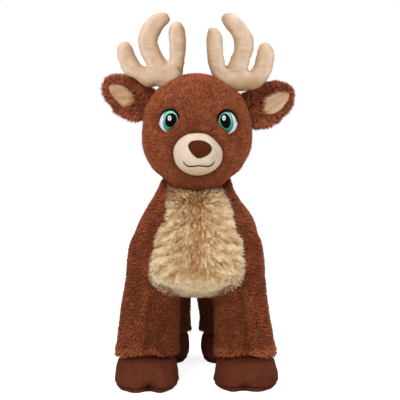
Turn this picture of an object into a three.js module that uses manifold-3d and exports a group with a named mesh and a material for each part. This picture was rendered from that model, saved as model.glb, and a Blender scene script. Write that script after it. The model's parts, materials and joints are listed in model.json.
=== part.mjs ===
// Standing plush deer, sewn from short-pile panels over stuffing: shaggy chest, leaf ears,
// padded three-point antlers and suede hooves.
// Millimetres, +Z up. The deer faces -Y. Left and right are as seen from the front.

import * as THREE from 'three';
import { mergeVertices } from 'three/addons/utils/BufferGeometryUtils.js';
import Module from 'manifold-3d';

const wasm = await Module();
wasm.setup();

// Cloth, seams and clearances
const clothThickness = 3;
const seamGap = 0.4;
const seatGap = 0.3;
const runningGap = 0.7;
const coreGap = 1;
const overrun = 60;
const weldTolerance = 1e-4;

// Torso
const torsoLength = 225;
const torsoHalfWidth = 70;
const bellyHeight = 96;
const torsoFrontY = -106;
const torsoSides = 18;
const torsoSteps = 14;
const torsoFullnessShare = 0.84;
const chestReach = 8.5;
const outlineSteps = 6;

// Head
const headHeight = 281;
const headChinRadius = 63;
const headCheekRadius = 59;
const headCrownRadius = 63;
const headSetShare = 0.271;
const headSides = 22;
const headRings = 14;
const headCoreSides = 14;
const headCoreRings = 9;
const chinAngleShare = 0.3;
const cheekAngleShare = 0.52;
const crownAngleShare = 0.8;
const gussetHalfWidth = 17;
const gussetFrontHalfWidth = 9;

// Neck
const neckSeatShare = 0.79;
const neckPlugRadius = 20;
const neckPlugDepth = 30;
const neckPlugSides = 16;
const neckPlugBevelShare = 0.3;

// Muzzle, nose and eyes
const muzzleHalfWidth = 25.5;
const muzzleHalfHeight = 22.5;
const muzzleDepth = 25;
const muzzleDrop = 21.5;
const muzzleSeatShare = 0.88;
const muzzleFullnessShare = 0.92;
const muzzleSides = 14;
const muzzleRings = 8;
const noseWidth = 25;
const noseHeight = 19;
const noseThickness = 2.4;
const noseRise = 6;
const noseCornerShare = 0.3;
const noseSlantShare = 0.33;
const eyeHalfWidth = 10.6;
const eyeHalfHeight = 12.4;
const eyeSpacing = 62;
const eyeRise = 13;
const eyeThickness = 1.2;
const eyeSides = 14;

// Legs
const frontLeg = {
  name: 'front',
  hipYShare: 0.267,
  hipZShare: 0.385,
  hipXShare: 0.63,
  hipRadius: 29.5,
  cuffX: 54,
  cuffLead: 12,
  cuffHalfWidth: 32.5,
  cuffHalfDepth: 33.5,
  toeLead: 9,
  swingAngle: 10,
};
const rearLeg = {
  name: 'rear',
  hipYShare: 0.8,
  hipZShare: 0.31,
  hipXShare: 0.52,
  hipRadius: 28.5,
  cuffX: 38.5,
  cuffLead: -10,
  cuffHalfWidth: 32,
  cuffHalfDepth: 33,
  toeLead: 3,
  swingAngle: 10,
};
const cuffHeight = 36;
const legSides = 12;
const legDomeSteps = 12;
const legCoreDomeSteps = 8;
const legWidthShares = [[0, 1], [0.12, 0.97], [0.4, 0.96], [0.7, 0.97], [1, 1]];

// Hooves
const hoofHalfWidth = 34;
const hoofHalfDepth = 41;
const hoofTuck = 8;
const soleThickness = 4.5;
const cleftShare = 0.15;
const cleftSpread = 0.35;
const hoofWidthShares = [[0, 0.86], [0.14, 0.96], [0.45, 1], [0.82, 0.97], [0.97, 0.88]];

// Ears
const earLength = 63;
const earHalfWidth = 19;
const earHalfThickness = 5.5;
const earEndShare = 0.04;
const earLiningShare = 0.68;
const earLiningThickness = 2.2;
const earRiseAngle = 34;
const earSides = 10;
const earSteps = 6;
const earLiningStartShare = 0.2;
const earLiningEndShare = 0.9;
const earFlopDownAngle = 20;
const earFlopUpAngle = 10;
const earBaseShares = { x: 0.83, y: 0.4, z: 0.28 };
const earWidthShares = [0.64, 0.88, 1, 1, 0.94, 0.8, 0.5];

// Antlers
const antlerHeight = 75;
const tineRadius = 11;
const tineFlatShare = 0.86;
const antlerTiltAngle = 8;
const antlerBaseShares = { x: 0.43, z: 0.88 };
const tineSides = 8;
const tineSteps = 4;
const tineEndAngle = 55;
const tineCoreSides = 6;
const outerTineShares = [
  [0, 0.01, 1], [-0.24, 0.06, 1], [-0.49, 0.13, 0.96], [-0.665, 0.28, 0.91], [-0.67, 0.44, 0.87],
];
const middleTineShares = [
  [-0.12, 0.07, 1], [-0.28, 0.28, 1], [-0.36, 0.52, 0.96], [-0.295, 0.745, 0.89], [-0.167, 0.867, 0.82],
];
const innerTineShares = [
  [-0.01, 0.04, 1], [0.05, 0.24, 0.93], [0.08, 0.49, 0.91], [0.05, 0.72, 0.89],
];

// Tail
const tailLength = 46;
const tailHalfWidth = 16;
const tailHalfThickness = 10;
const tailHangAngle = 50;
const tailLiftAngle = 20;
const tailDropAngle = 10;
const tailSides = 12;
const tailSteps = 7;
const tailBaseShares = { y: 0.968, z: 0.5 };
const tailWidthShares = [0.5, 0.8, 1, 0.95, 0.7, 0.25];

// The sides as seen from the front: the right ear hangs lower and the right inner tine is shorter
const sides = [
  { name: 'left', sign: -1, earDroopAngle: 0, innerTineShare: 1 },
  { name: 'right', sign: 1, earDroopAngle: 5, innerTineShare: 0.9 },
];

// Places worked out from the sizes above
const headY = torsoFrontY + headSetShare * torsoLength;
const headCentre = new THREE.Vector3(0, headY, headHeight);
const neckTopHeight = headHeight - neckSeatShare * headChinRadius;
const torsoHeight = neckTopHeight - bellyHeight;
const coreInset = clothThickness + coreGap;

// Solid helpers

function signedVolume(position, triangles) {
  const a = new THREE.Vector3();
  const b = new THREE.Vector3();
  const c = new THREE.Vector3();
  let sum = 0;
  for (let i = 0; i < triangles.length; i += 3) {
    a.fromBufferAttribute(position, triangles[i]);
    b.fromBufferAttribute(position, triangles[i + 1]);
    c.fromBufferAttribute(position, triangles[i + 2]);
    sum += a.dot(b.cross(c));
  }
  return sum;
}

function solidOf(geometry) {
  const bare = geometry.clone();
  bare.deleteAttribute('normal');
  bare.deleteAttribute('uv');
  const welded = mergeVertices(bare, weldTolerance);
  const index = welded.getIndex().array;
  const triangles = [];
  for (let i = 0; i < index.length; i += 3) {
    const [a, b, c] = [index[i], index[i + 1], index[i + 2]];
    if (a !== b && b !== c && c !== a) triangles.push(a, b, c);
  }
  if (signedVolume(welded.attributes.position, triangles) < 0) triangles.reverse();
  return new wasm.Manifold(new wasm.Mesh({
    numProp: 3,
    vertProperties: new Float32Array(welded.attributes.position.array),
    triVerts: new Uint32Array(triangles),
  }));
}

function geometryOf(solid) {
  const mesh = solid.getMesh();
  const geometry = new THREE.BufferGeometry();
  geometry.setAttribute('position', new THREE.BufferAttribute(new Float32Array(mesh.vertProperties), 3));
  geometry.setIndex(new THREE.BufferAttribute(new Uint32Array(mesh.triVerts), 1));
  const shaded = geometry.toNonIndexed();
  shaded.computeVertexNormals();
  return shaded;
}

function joined(solids) {
  return solids.reduce((whole, solid) => whole.add(solid));
}

// A closed body through rings of points, each end closed by a fan
function ringBody(rings) {
  const points = rings.flat();
  const count = rings[0].length;
  const ends = [rings[0], rings[rings.length - 1]];
  for (const ring of ends) {
    const middle = new THREE.Vector3();
    for (const point of ring) middle.add(point);
    points.push(middle.divideScalar(count));
  }
  const index = [];
  const lastRow = (rings.length - 1) * count;
  const firstMiddle = rings.length * count;
  for (let i = 0; i < count; i += 1) {
    const next = (i + 1) % count;
    for (let row = 0; row < lastRow; row += count) {
      const above = row + count;
      index.push(row + i, row + next, above + next);
      index.push(row + i, above + next, above + i);
    }
    index.push(firstMiddle, next, i);
    index.push(firstMiddle + 1, lastRow + i, lastRow + next);
  }
  const geometry = new THREE.BufferGeometry().setFromPoints(points);
  geometry.setIndex(index);
  return geometry;
}

// One ring round a centre: fullness 1 is an ellipse, and less is squarer
function ringAround(centre, acrossAxis, alongAxis, count, fullness = 1) {
  const ring = [];
  for (let i = 0; i < count; i += 1) {
    const angle = (2 * Math.PI * i) / count;
    const across = Math.sign(Math.cos(angle)) * Math.abs(Math.cos(angle)) ** fullness;
    const along = Math.sign(Math.sin(angle)) * Math.abs(Math.sin(angle)) ** fullness;
    ring.push(centre.clone().addScaledVector(acrossAxis, across).addScaledVector(alongAxis, along));
  }
  return ring;
}

// The value at a share along a table of [share, value] rows
function tableAt(table, share) {
  const above = table.findIndex((row) => row[0] >= share);
  if (above === 0) return table[0][1];
  if (above < 0) return table[table.length - 1][1];
  const [low, high] = [table[above - 1], table[above]];
  return THREE.MathUtils.mapLinear(share, low[0], high[0], low[1], high[1]);
}

function lerpTable(values, share) {
  const place = share * (values.length - 1);
  const low = Math.min(Math.floor(place), values.length - 2);
  return THREE.MathUtils.lerp(values[low], values[low + 1], place - low);
}

function turnedAbout(geometry, pivot, axis, degrees) {
  const turn = new THREE.Matrix4().makeRotationAxis(axis, THREE.MathUtils.degToRad(degrees));
  const toPivot = new THREE.Matrix4().makeTranslation(-pivot.x, -pivot.y, -pivot.z);
  const back = new THREE.Matrix4().makeTranslation(pivot.x, pivot.y, pivot.z);
  return geometry.clone().applyMatrix4(back.multiply(turn).multiply(toPivot));
}

// The space that a form sweeps when it turns about a pivot
function swept(geometry, pivot, axis, degreesList) {
  return joined(degreesList.map((degrees) => solidOf(turnedAbout(geometry, pivot, axis, degrees))));
}

// Everything on one side of a plane square to X or Y, kept clear of the plane by half a seam
function halfSpace(axisName, place, sign) {
  const reach = torsoLength + headHeight + overrun;
  const box = new THREE.BoxGeometry(2 * reach, 2 * reach, 2 * reach);
  const offset = new THREE.Vector3();
  offset[axisName] = place + sign * (reach + seamGap / 2);
  box.translate(offset.x, offset.y, offset.z);
  return solidOf(box);
}

const xAxis = new THREE.Vector3(1, 0, 0);
const yAxis = new THREE.Vector3(0, 1, 0);
const leftHalf = halfSpace('x', 0, -1);
const rightHalf = halfSpace('x', 0, 1);

// Torso: ribs run from the neck, round the chest, to the rump.
// Each rib gives its back point and its belly point as shares of length and height, then its width.
const ribShares = [
  [0.43, 1.1, 0.14, 0.915, 0.52],
  [0.453, 0.889, 0.1, 0.85, 0.6],
  [0.498, 0.793, 0.049, 0.726, 0.72],
  [0.551, 0.711, 0.018, 0.548, 0.87],
  [0.613, 0.652, 0, 0.363, 0.96],
  [0.684, 0.622, 0.036, 0.178, 1],
  [0.756, 0.607, 0.151, 0.067, 0.986],
  [0.827, 0.585, 0.338, 0.015, 0.97],
  [0.893, 0.548, 0.538, 0, 0.95],
  [0.951, 0.489, 0.716, 0.022, 0.89],
  [0.991, 0.4, 0.862, 0.089, 0.73],
  [1, 0.311, 0.942, 0.185, 0.42],
];

function torsoPoint(yShare, zShare) {
  return new THREE.Vector3(0, torsoFrontY + yShare * torsoLength, bellyHeight + zShare * torsoHeight);
}

const backLine = new THREE.CatmullRomCurve3(ribShares.map((rib) => torsoPoint(rib[0], rib[1])));
const bellyLine = new THREE.CatmullRomCurve3(ribShares.map((rib) => torsoPoint(rib[2], rib[3])));
const ribWidths = new THREE.CatmullRomCurve3(
  ribShares.map((rib, i) => new THREE.Vector3(i, rib[4] * torsoHalfWidth, 0)),
);

function torsoForm(grow) {
  const rings = [];
  for (let i = 0; i <= torsoSteps; i += 1) {
    const share = i / torsoSteps;
    const back = backLine.getPoint(share);
    const belly = bellyLine.getPoint(share);
    const centre = back.clone().add(belly).multiplyScalar(0.5);
    const down = belly.clone().sub(back);
    const halfLength = down.length() / 2 + grow;
    down.normalize();
    const halfWidth = ribWidths.getPoint(share).y + grow;
    const endPush = new THREE.Vector3().crossVectors(xAxis, down);
    if (i === 0) centre.addScaledVector(endPush, -grow);
    if (i === torsoSteps) centre.addScaledVector(endPush, grow);
    const across = xAxis.clone().multiplyScalar(halfWidth);
    rings.push(ringAround(centre, across, down.multiplyScalar(halfLength), torsoSides, torsoFullnessShare));
  }
  return ringBody(rings);
}

// Head: a round body of revolution, truly spherical over the chin so that it turns in the neck

function headRadiusAt(angle) {
  const share = angle / Math.PI;
  const rise = THREE.MathUtils.smoothstep(share, chinAngleShare, cheekAngleShare);
  const fall = THREE.MathUtils.smoothstep(share, cheekAngleShare, crownAngleShare);
  const lower = THREE.MathUtils.lerp(headChinRadius, headCheekRadius, rise);
  return THREE.MathUtils.lerp(lower, headCrownRadius, fall);
}

function headForm(grow, sideCount = headSides, ringCount = headRings) {
  const profile = [];
  for (let i = 0; i <= ringCount; i += 1) {
    const angle = (Math.PI * i) / ringCount;
    const radius = headRadiusAt(angle) + grow;
    const out = i === ringCount ? 0 : radius * Math.sin(angle);
    profile.push(new THREE.Vector2(out, -radius * Math.cos(angle)));
  }
  const geometry = new THREE.LatheGeometry(profile, sideCount);
  geometry.rotateX(Math.PI / 2);
  return geometry.translate(headCentre.x, headCentre.y, headCentre.z);
}

// The cover of a form, closed all round
function coverOf(form) {
  return solidOf(form(0)).subtract(solidOf(form(-clothThickness)));
}

const headClear = solidOf(headForm(runningGap));

// Neck plug: a firm wad that the head sits on, held in the torso
function neckPlugForm(grow) {
  const low = headHeight - headChinRadius - neckPlugDepth + clothThickness;
  const radius = neckPlugRadius + grow;
  const bottom = low - grow;
  const profile = [
    new THREE.Vector2(0, bottom),
    new THREE.Vector2(radius * (1 - neckPlugBevelShare), bottom),
    new THREE.Vector2(radius, bottom + radius * neckPlugBevelShare),
    new THREE.Vector2(radius, neckTopHeight),
    new THREE.Vector2(0, neckTopHeight),
  ];
  const geometry = new THREE.LatheGeometry(profile, neckPlugSides);
  geometry.rotateX(Math.PI / 2);
  return geometry.translate(0, headY, 0);
}

// Legs

function legPlaces(leg) {
  const hip = torsoPoint(leg.hipYShare, leg.hipZShare);
  const cuffY = hip.y - leg.cuffLead;
  return { hip, hipX: leg.hipXShare * torsoHalfWidth, cuffY };
}

// The middle and half sizes of a leg at a height between its cuff and its hip
function legSection(leg, height) {
  const { hip, hipX, cuffY } = legPlaces(leg);
  const share = THREE.MathUtils.clamp((height - cuffHeight) / (hip.z - cuffHeight), 0, 1);
  const size = tableAt(legWidthShares, share);
  return {
    x: THREE.MathUtils.lerp(leg.cuffX, hipX, share),
    y: THREE.MathUtils.lerp(cuffY, hip.y, share),
    halfWidth: THREE.MathUtils.lerp(leg.cuffHalfWidth, leg.hipRadius, share) * size,
    halfDepth: THREE.MathUtils.lerp(leg.cuffHalfDepth, leg.hipRadius, share) * size,
  };
}

// How the front or back edge of a leg moves out when the leg swings:
// by one length at the hip, and by a share of the depth under it
function swingReach(leg, facing, swing) {
  const { hip, cuffY } = legPlaces(leg);
  const spread = facing * (cuffY - hip.y) + leg.cuffHalfDepth - leg.hipRadius;
  const slope = spread / (hip.z - cuffHeight);
  const lean = Math.atan(slope);
  const swung = lean + THREE.MathUtils.degToRad(swing);
  const atHip = leg.hipRadius * (Math.cos(lean) / Math.cos(swung) - 1);
  return { atHip, perDepth: Math.tan(swung) - slope };
}

// A leg is a loft up to the hip, closed by a half drum turned about the hip axis.
// With a swing it is the room that the leg needs: each ring is drawn out to where the swing takes it.
function legForm(leg, sign, grow, lowHeight, options = {}) {
  const { swing = 0, domeSteps = legDomeSteps } = options;
  const { hip, hipX } = legPlaces(leg);
  const half = legSides / 2;
  const points = [];
  const ringHeights = legWidthShares.map(([share]) => THREE.MathUtils.lerp(cuffHeight, hip.z, share));
  for (const height of [lowHeight, ...ringHeights.filter((z) => z > lowHeight)]) {
    const section = legSection(leg, height);
    for (const facing of [-1, 1]) {
      const { atHip, perDepth } = swingReach(leg, facing, swing);
      const halfDepth = section.halfDepth + grow + atHip;
      const reach = perDepth * Math.max(hip.z - height, 0);
      for (let i = 0; i <= half; i += 1) {
        const angle = (Math.PI * i) / half;
        points.push(new THREE.Vector3(
          sign * section.x - facing * (section.halfWidth + grow) * Math.cos(angle),
          section.y + facing * (halfDepth * Math.sin(angle) + reach),
          height,
        ));
      }
    }
  }
  const ringSize = 2 * (half + 1);
  const rows = points.length / ringSize;
  const index = [];
  for (let i = 0; i < ringSize; i += 1) {
    const next = (i + 1) % ringSize;
    for (let row = 0; row < rows - 1; row += 1) {
      const here = row * ringSize;
      const above = here + ringSize;
      index.push(here + i, here + next, above + next);
      index.push(here + i, above + next, above + i);
    }
    if (i > 0 && i < ringSize - 1) index.push(0, i + 1, i);
  }
  const radius = leg.hipRadius + grow;
  const domeAt = (step, i) => {
    if (step === 0) return (rows - 1) * ringSize + i;
    if (step === domeSteps) return (rows - 1) * ringSize + half + 1 + (half - i);
    return points.length - (domeSteps - 1 - (step - 1)) * (half + 1) + i;
  };
  for (let step = 1; step < domeSteps; step += 1) {
    const turn = (Math.PI * step) / domeSteps;
    for (let i = 0; i <= half; i += 1) {
      const angle = (Math.PI * i) / half;
      const out = radius * Math.sin(angle);
      points.push(new THREE.Vector3(
        sign * hipX + radius * Math.cos(angle),
        hip.y - out * Math.cos(turn),
        hip.z + out * Math.sin(turn),
      ));
    }
  }
  for (let step = 0; step < domeSteps; step += 1) {
    for (let i = 0; i < half; i += 1) {
      const [a, b] = [domeAt(step, i), domeAt(step, i + 1)];
      const [c, d] = [domeAt(step + 1, i + 1), domeAt(step + 1, i)];
      index.push(a, b, c, a, c, d);
    }
  }
  const geometry = new THREE.BufferGeometry().setFromPoints(points);
  geometry.setIndex(index);
  return geometry;
}

// The inner or outer side of a leg, parted along the seam down its middle
function legSide(leg, sign, towards) {
  const { hip, hipX } = legPlaces(leg);
  const rings = [];
  const seam = [[leg.cuffX, -overrun], [leg.cuffX, cuffHeight], [hipX, hip.z], [hipX, headHeight]];
  for (const [centreX, height] of seam) {
    const near = sign * centreX + (towards * seamGap) / 2;
    const far = near + towards * torsoLength;
    const middle = new THREE.Vector3((near + far) / 2, hip.y, height);
    const across = xAxis.clone().multiplyScalar((far - near) / 2);
    const along = yAxis.clone().multiplyScalar(torsoLength);
    rings.push([
      middle.clone().sub(across).sub(along),
      middle.clone().add(across).sub(along),
      middle.clone().add(across).add(along),
      middle.clone().sub(across).add(along),
    ]);
  }
  return solidOf(ringBody(rings));
}

// Hooves: each ring stands ahead of its leg by a toe, with a cleft that fades out towards the cuff
const hoofTop = cuffHeight + hoofTuck;

function hoofRing(leg, sign, height, grow) {
  const share = height / cuffHeight;
  const section = legSection(leg, height);
  const tucked = height >= cuffHeight;
  const size = tableAt(hoofWidthShares, share);
  const tuck = clothThickness + seatGap;
  const halfWidth = (tucked ? section.halfWidth - tuck : hoofHalfWidth * size) + grow;
  const halfDepth = (tucked ? section.halfDepth - tuck : hoofHalfDepth * Math.sqrt(size)) + grow;
  const fade = Math.max(1 - share, 0);
  const toeY = section.y - leg.toeLead * Math.min(2 * fade, 1);
  const ring = [];
  for (let i = 0; i < legSides; i += 1) {
    const angle = (2 * Math.PI * i) / legSides;
    const fromFront = Math.min(angle, 2 * Math.PI - angle);
    const cleft = 1 - cleftShare * fade * Math.exp(-((fromFront / cleftSpread) ** 2));
    ring.push(new THREE.Vector3(
      sign * section.x - Math.sin(angle) * halfWidth * cleft,
      toeY - Math.cos(angle) * halfDepth * cleft,
      height,
    ));
  }
  return ring;
}

function hoofForm(leg, sign, grow, low, high) {
  const shares = [...hoofWidthShares.map(([share]) => share), 1];
  const between = shares.map((share) => share * cuffHeight).filter((z) => z > low && z < high);
  return ringBody([low, ...between, high].map((height) => hoofRing(leg, sign, height, grow)));
}

// Ears: leaf sections along the ear, gathered at the base

function earFrame(side) {
  const base = new THREE.Vector3(
    side.sign * earBaseShares.x * headCheekRadius,
    headCentre.y + earBaseShares.y * headCheekRadius,
    headCentre.z + earBaseShares.z * headCheekRadius,
  );
  const rise = THREE.MathUtils.degToRad(earRiseAngle - side.earDroopAngle);
  const out = new THREE.Vector3(side.sign * Math.cos(rise), 0, Math.sin(rise));
  const across = new THREE.Vector3(-side.sign * Math.sin(rise), 0, Math.cos(rise));
  return { base, out, across };
}

function earForm(side, widthShare, halfThickness, forward, startShare, endShare, grow) {
  const { base, out, across } = earFrame(side);
  const rings = [];
  for (let i = 0; i <= earSteps; i += 1) {
    const share = THREE.MathUtils.lerp(startShare, endShare, i / earSteps);
    const roundEnd = Math.sqrt(Math.max(1 - (2 * i / earSteps - 1) ** 4, earEndShare));
    const halfWidth = lerpTable(earWidthShares, share) * earHalfWidth * widthShare * roundEnd + grow;
    const centre = base.clone().addScaledVector(out, share * earLength);
    centre.y -= forward;
    const thickness = halfThickness * roundEnd + grow;
    rings.push(ringAround(
      centre,
      across.clone().multiplyScalar(halfWidth),
      yAxis.clone().multiplyScalar(thickness),
      earSides,
    ));
  }
  return ringBody(rings);
}

// Antlers: three padded tines that join in a palm

function tineForm(base, sign, table, heightShare, grow, sideCount) {
  const points = table.map(([x, z]) => new THREE.Vector3(
    base.x - sign * x * antlerHeight,
    base.y,
    base.z + z * heightShare * antlerHeight,
  ));
  const curve = new THREE.CatmullRomCurve3(points);
  const radii = table.map((row) => row[2] * tineRadius);
  const rings = [];
  const addRing = (centre, tangent, radius) => {
    const across = new THREE.Vector3().crossVectors(yAxis, tangent).multiplyScalar(radius);
    rings.push(ringAround(centre, across, yAxis.clone().multiplyScalar(radius * tineFlatShare), sideCount));
  };
  const angle = THREE.MathUtils.degToRad(tineEndAngle);
  const [rootRadius, tipRadius] = [radii[0] + grow, radii[radii.length - 1] + grow];
  const root = curve.getPoint(0).addScaledVector(curve.getTangent(0), -rootRadius * Math.sin(angle));
  addRing(root, curve.getTangent(0), rootRadius * Math.cos(angle));
  for (let i = 0; i <= tineSteps; i += 1) {
    const share = i / tineSteps;
    addRing(curve.getPoint(share), curve.getTangent(share), lerpTable(radii, share) + grow);
  }
  const tip = curve.getPoint(1).addScaledVector(curve.getTangent(1), tipRadius * Math.sin(angle));
  addRing(tip, curve.getTangent(1), tipRadius * Math.cos(angle));
  return ringBody(rings);
}

function antlerBase(side) {
  return new THREE.Vector3(
    side.sign * antlerBaseShares.x * headCrownRadius,
    headCentre.y,
    headCentre.z + antlerBaseShares.z * headCrownRadius,
  );
}

function antlerSolid(side, grow, sideCount) {
  const base = antlerBase(side);
  return joined([
    solidOf(tineForm(base, side.sign, outerTineShares, 1, grow, sideCount)),
    solidOf(tineForm(base, side.sign, middleTineShares, 1, grow, sideCount)),
    solidOf(tineForm(base, side.sign, innerTineShares, side.innerTineShare, grow, sideCount)),
  ]);
}

// Tail: a short leaf that hangs from the rump

const tailBase = torsoPoint(tailBaseShares.y, tailBaseShares.z);

function tailForm() {
  const hang = THREE.MathUtils.degToRad(tailHangAngle);
  const out = new THREE.Vector3(0, Math.cos(hang), -Math.sin(hang));
  const up = new THREE.Vector3(0, Math.sin(hang), Math.cos(hang));
  const rings = [];
  for (let i = 0; i <= tailSteps; i += 1) {
    const share = i / tailSteps;
    const width = lerpTable(tailWidthShares, share);
    const centre = tailBase.clone().addScaledVector(out, share * tailLength);
    rings.push(ringAround(
      centre,
      xAxis.clone().multiplyScalar(tailHalfWidth * width),
      up.clone().multiplyScalar(tailHalfThickness * width),
      tailSides,
    ));
  }
  return ringBody(rings);
}

// The upper or lower side of the tail, parted along its edge seam
function tailHalf(sign) {
  const reach = tailLength * 2;
  const box = new THREE.BoxGeometry(2 * reach, 2 * reach, reach);
  box.translate(0, 0, sign * (reach / 2 + seamGap / 2));
  box.rotateX(-THREE.MathUtils.degToRad(tailHangAngle));
  box.translate(tailBase.x, tailBase.y, tailBase.z);
  return solidOf(box);
}

// A flat outline in the front view, pushed through from the front as far as a given depth
function frontPrism(shape, fromY, toY) {
  const options = { depth: toY - fromY, bevelEnabled: false, curveSegments: outlineSteps };
  const geometry = new THREE.ExtrudeGeometry(shape, options);
  geometry.rotateX(Math.PI / 2);
  return solidOf(geometry.translate(0, toY, 0));
}

// Chest outline: half widths as shares of the torso, from the throat to the belly edge
const chestOutlineShares = [
  [1.2, 0.46], [0.94, 0.5], [0.66, 0.58], [0.5, 0.66], [0.3, 0.74], [0.17, 0.7], [0.09, 0.5], [0.05, 0.22],
];

function chestShape(grow) {
  const rightEdge = chestOutlineShares.map(([z, x]) => new THREE.Vector2(
    x * torsoHalfWidth + grow,
    bellyHeight + z * torsoHeight - grow,
  ));
  const leftEdge = rightEdge.map((point) => new THREE.Vector2(-point.x, point.y)).reverse();
  return new THREE.Shape([...rightEdge, ...leftEdge]);
}

function ovalShape(x, z, halfWidth, halfHeight, count) {
  const points = [];
  for (let i = 0; i < count; i += 1) {
    const angle = (2 * Math.PI * i) / count;
    points.push(new THREE.Vector2(x + halfWidth * Math.cos(angle), z + halfHeight * Math.sin(angle)));
  }
  return new THREE.Shape(points);
}

// Nose outline: a triangle with its point down and round corners
function noseShape(centreZ) {
  const half = noseWidth / 2;
  const top = centreZ + noseHeight / 2;
  const low = centreZ - noseHeight / 2;
  const corner = noseCornerShare * noseWidth;
  const slant = noseSlantShare * corner;
  const shape = new THREE.Shape();
  shape.moveTo(-half + corner, top);
  shape.lineTo(half - corner, top);
  shape.quadraticCurveTo(half, top, half - slant, top - corner);
  shape.lineTo(corner / 2, low + slant);
  shape.quadraticCurveTo(0, low, -corner / 2, low + slant);
  shape.lineTo(-half + slant, top - corner);
  shape.quadraticCurveTo(-half, top, -half + corner, top);
  return shape;
}

// Muzzle: a short dome on the face

const muzzleCentre = new THREE.Vector3(
  0,
  headCentre.y - headCheekRadius * muzzleSeatShare,
  headCentre.z - muzzleDrop,
);

function muzzleForm(grow) {
  const rings = [];
  const reach = muzzleDepth + grow;
  for (let i = 1; i < muzzleRings; i += 1) {
    const angle = (Math.PI * i) / muzzleRings;
    const centre = muzzleCentre.clone();
    centre.y += reach * Math.cos(angle);
    const size = Math.sin(angle);
    rings.push(ringAround(
      centre,
      xAxis.clone().multiplyScalar((muzzleHalfWidth + grow) * size),
      new THREE.Vector3(0, 0, (muzzleHalfHeight + grow) * size),
      muzzleSides,
      muzzleFullnessShare,
    ));
  }
  return ringBody(rings);
}

// Materials
const finishes = {
  brownPile: { color: 0x8a4a30, roughness: 0.95, metalness: 0 },
  creamShag: { color: 0xd9bc8c, roughness: 0.95, metalness: 0 },
  creamPlush: { color: 0xe6cfae, roughness: 0.9, metalness: 0 },
  antlerPlush: { color: 0xdcc3a0, roughness: 0.9, metalness: 0 },
  hoofSuede: { color: 0x5f3426, roughness: 0.92, metalness: 0 },
  nosePlush: { color: 0x5a2c14, roughness: 0.8, metalness: 0 },
  eyeThread: { color: 0x3faf86, roughness: 0.6, metalness: 0 },
  stuffing: { color: 0xf4f2ec, roughness: 1, metalness: 0 },
};

const deer = new THREE.Group();

// Each moving body is a group that stands at its joint
function bodyGroup(name, joint) {
  const group = new THREE.Group();
  group.name = name;
  group.position.copy(joint);
  deer.add(group);
  return group;
}

function addPiece(group, name, solid, finish) {
  const mesh = new THREE.Mesh(geometryOf(solid), new THREE.MeshStandardMaterial(finishes[finish]));
  mesh.name = name;
  mesh.position.copy(group.position).negate();
  group.add(mesh);
}

// Leg rooms: what each leg sweeps inside the torso
const legs = [];
for (const leg of [frontLeg, rearLeg]) {
  for (const side of sides) {
    const { hip, hipX } = legPlaces(leg);
    const pivot = new THREE.Vector3(side.sign * hipX, hip.y, hip.z);
    const room = solidOf(legForm(leg, side.sign, runningGap, cuffHeight, { swing: leg.swingAngle }));
    legs.push({ leg, side, pivot, room });
  }
}
const legRooms = joined(legs.map((entry) => entry.room));

// Torso pieces
const torso = bodyGroup('torso', new THREE.Vector3());
const plugRoom = solidOf(neckPlugForm(runningGap));
const torsoCover = coverOf(torsoForm).subtract(headClear).subtract(legRooms).subtract(plugRoom);
const chestBack = headY + chestReach;
const chestRoom = frontPrism(chestShape(seamGap), torsoFrontY - overrun, chestBack + seamGap);
const chestPrism = frontPrism(chestShape(0), torsoFrontY - overrun, chestBack);
addPiece(torso, 'chest_panel', torsoCover.intersect(chestPrism), 'creamShag');
const brownCover = torsoCover.subtract(chestRoom);
addPiece(torso, 'torso_side_left', brownCover.intersect(leftHalf), 'brownPile');
addPiece(torso, 'torso_side_right', brownCover.intersect(rightHalf), 'brownPile');
const torsoCore = solidOf(torsoForm(-coreInset)).subtract(headClear).subtract(legRooms).subtract(plugRoom);
addPiece(torso, 'torso_stuffing', torsoCore, 'stuffing');

// Neck pieces
const neck = bodyGroup('neck', headCentre);
addPiece(neck, 'neck_stuffing', solidOf(neckPlugForm(0)).subtract(headClear), 'stuffing');

// Head pieces
const head = bodyGroup('head', headCentre);
const headCover = coverOf(headForm);
const gussetLow = headCentre.z - eyeRise;
const gussetLength = headCrownRadius + overrun;

function gussetPrism(grow) {
  const shape = new THREE.Shape([
    new THREE.Vector2(-gussetFrontHalfWidth - grow, -gussetLength),
    new THREE.Vector2(gussetFrontHalfWidth + grow, -gussetLength),
    new THREE.Vector2(gussetHalfWidth + grow, 0),
    new THREE.Vector2(gussetFrontHalfWidth + grow, gussetLength),
    new THREE.Vector2(-gussetFrontHalfWidth - grow, gussetLength),
    new THREE.Vector2(-gussetHalfWidth - grow, 0),
  ]);
  const low = gussetLow - grow;
  const options = { depth: headHeight + overrun - low, bevelEnabled: false };
  const geometry = new THREE.ExtrudeGeometry(shape, options);
  return solidOf(geometry.translate(headCentre.x, headCentre.y, low));
}

addPiece(head, 'head_gusset', headCover.intersect(gussetPrism(0)), 'brownPile');
const cheekCover = headCover.subtract(gussetPrism(seamGap));
addPiece(head, 'head_side_left', cheekCover.intersect(leftHalf), 'brownPile');
addPiece(head, 'head_side_right', cheekCover.intersect(rightHalf), 'brownPile');
addPiece(head, 'head_stuffing', solidOf(headForm(-coreInset, headCoreSides, headCoreRings)), 'stuffing');

const headSeat = solidOf(headForm(seatGap));
const muzzleOuter = solidOf(muzzleForm(0));
addPiece(
  head,
  'muzzle_cover',
  muzzleOuter.subtract(solidOf(muzzleForm(-clothThickness))).subtract(headSeat),
  'creamPlush',
);
addPiece(head, 'muzzle_stuffing', solidOf(muzzleForm(-coreInset)).subtract(headSeat), 'stuffing');

const noseOutline = noseShape(muzzleCentre.z + noseRise);
const nosePrism = frontPrism(noseOutline, muzzleCentre.y - overrun, muzzleCentre.y);
addPiece(
  head,
  'nose_patch',
  solidOf(muzzleForm(seatGap + noseThickness)).subtract(solidOf(muzzleForm(seatGap))).intersect(nosePrism),
  'nosePlush',
);

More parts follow.
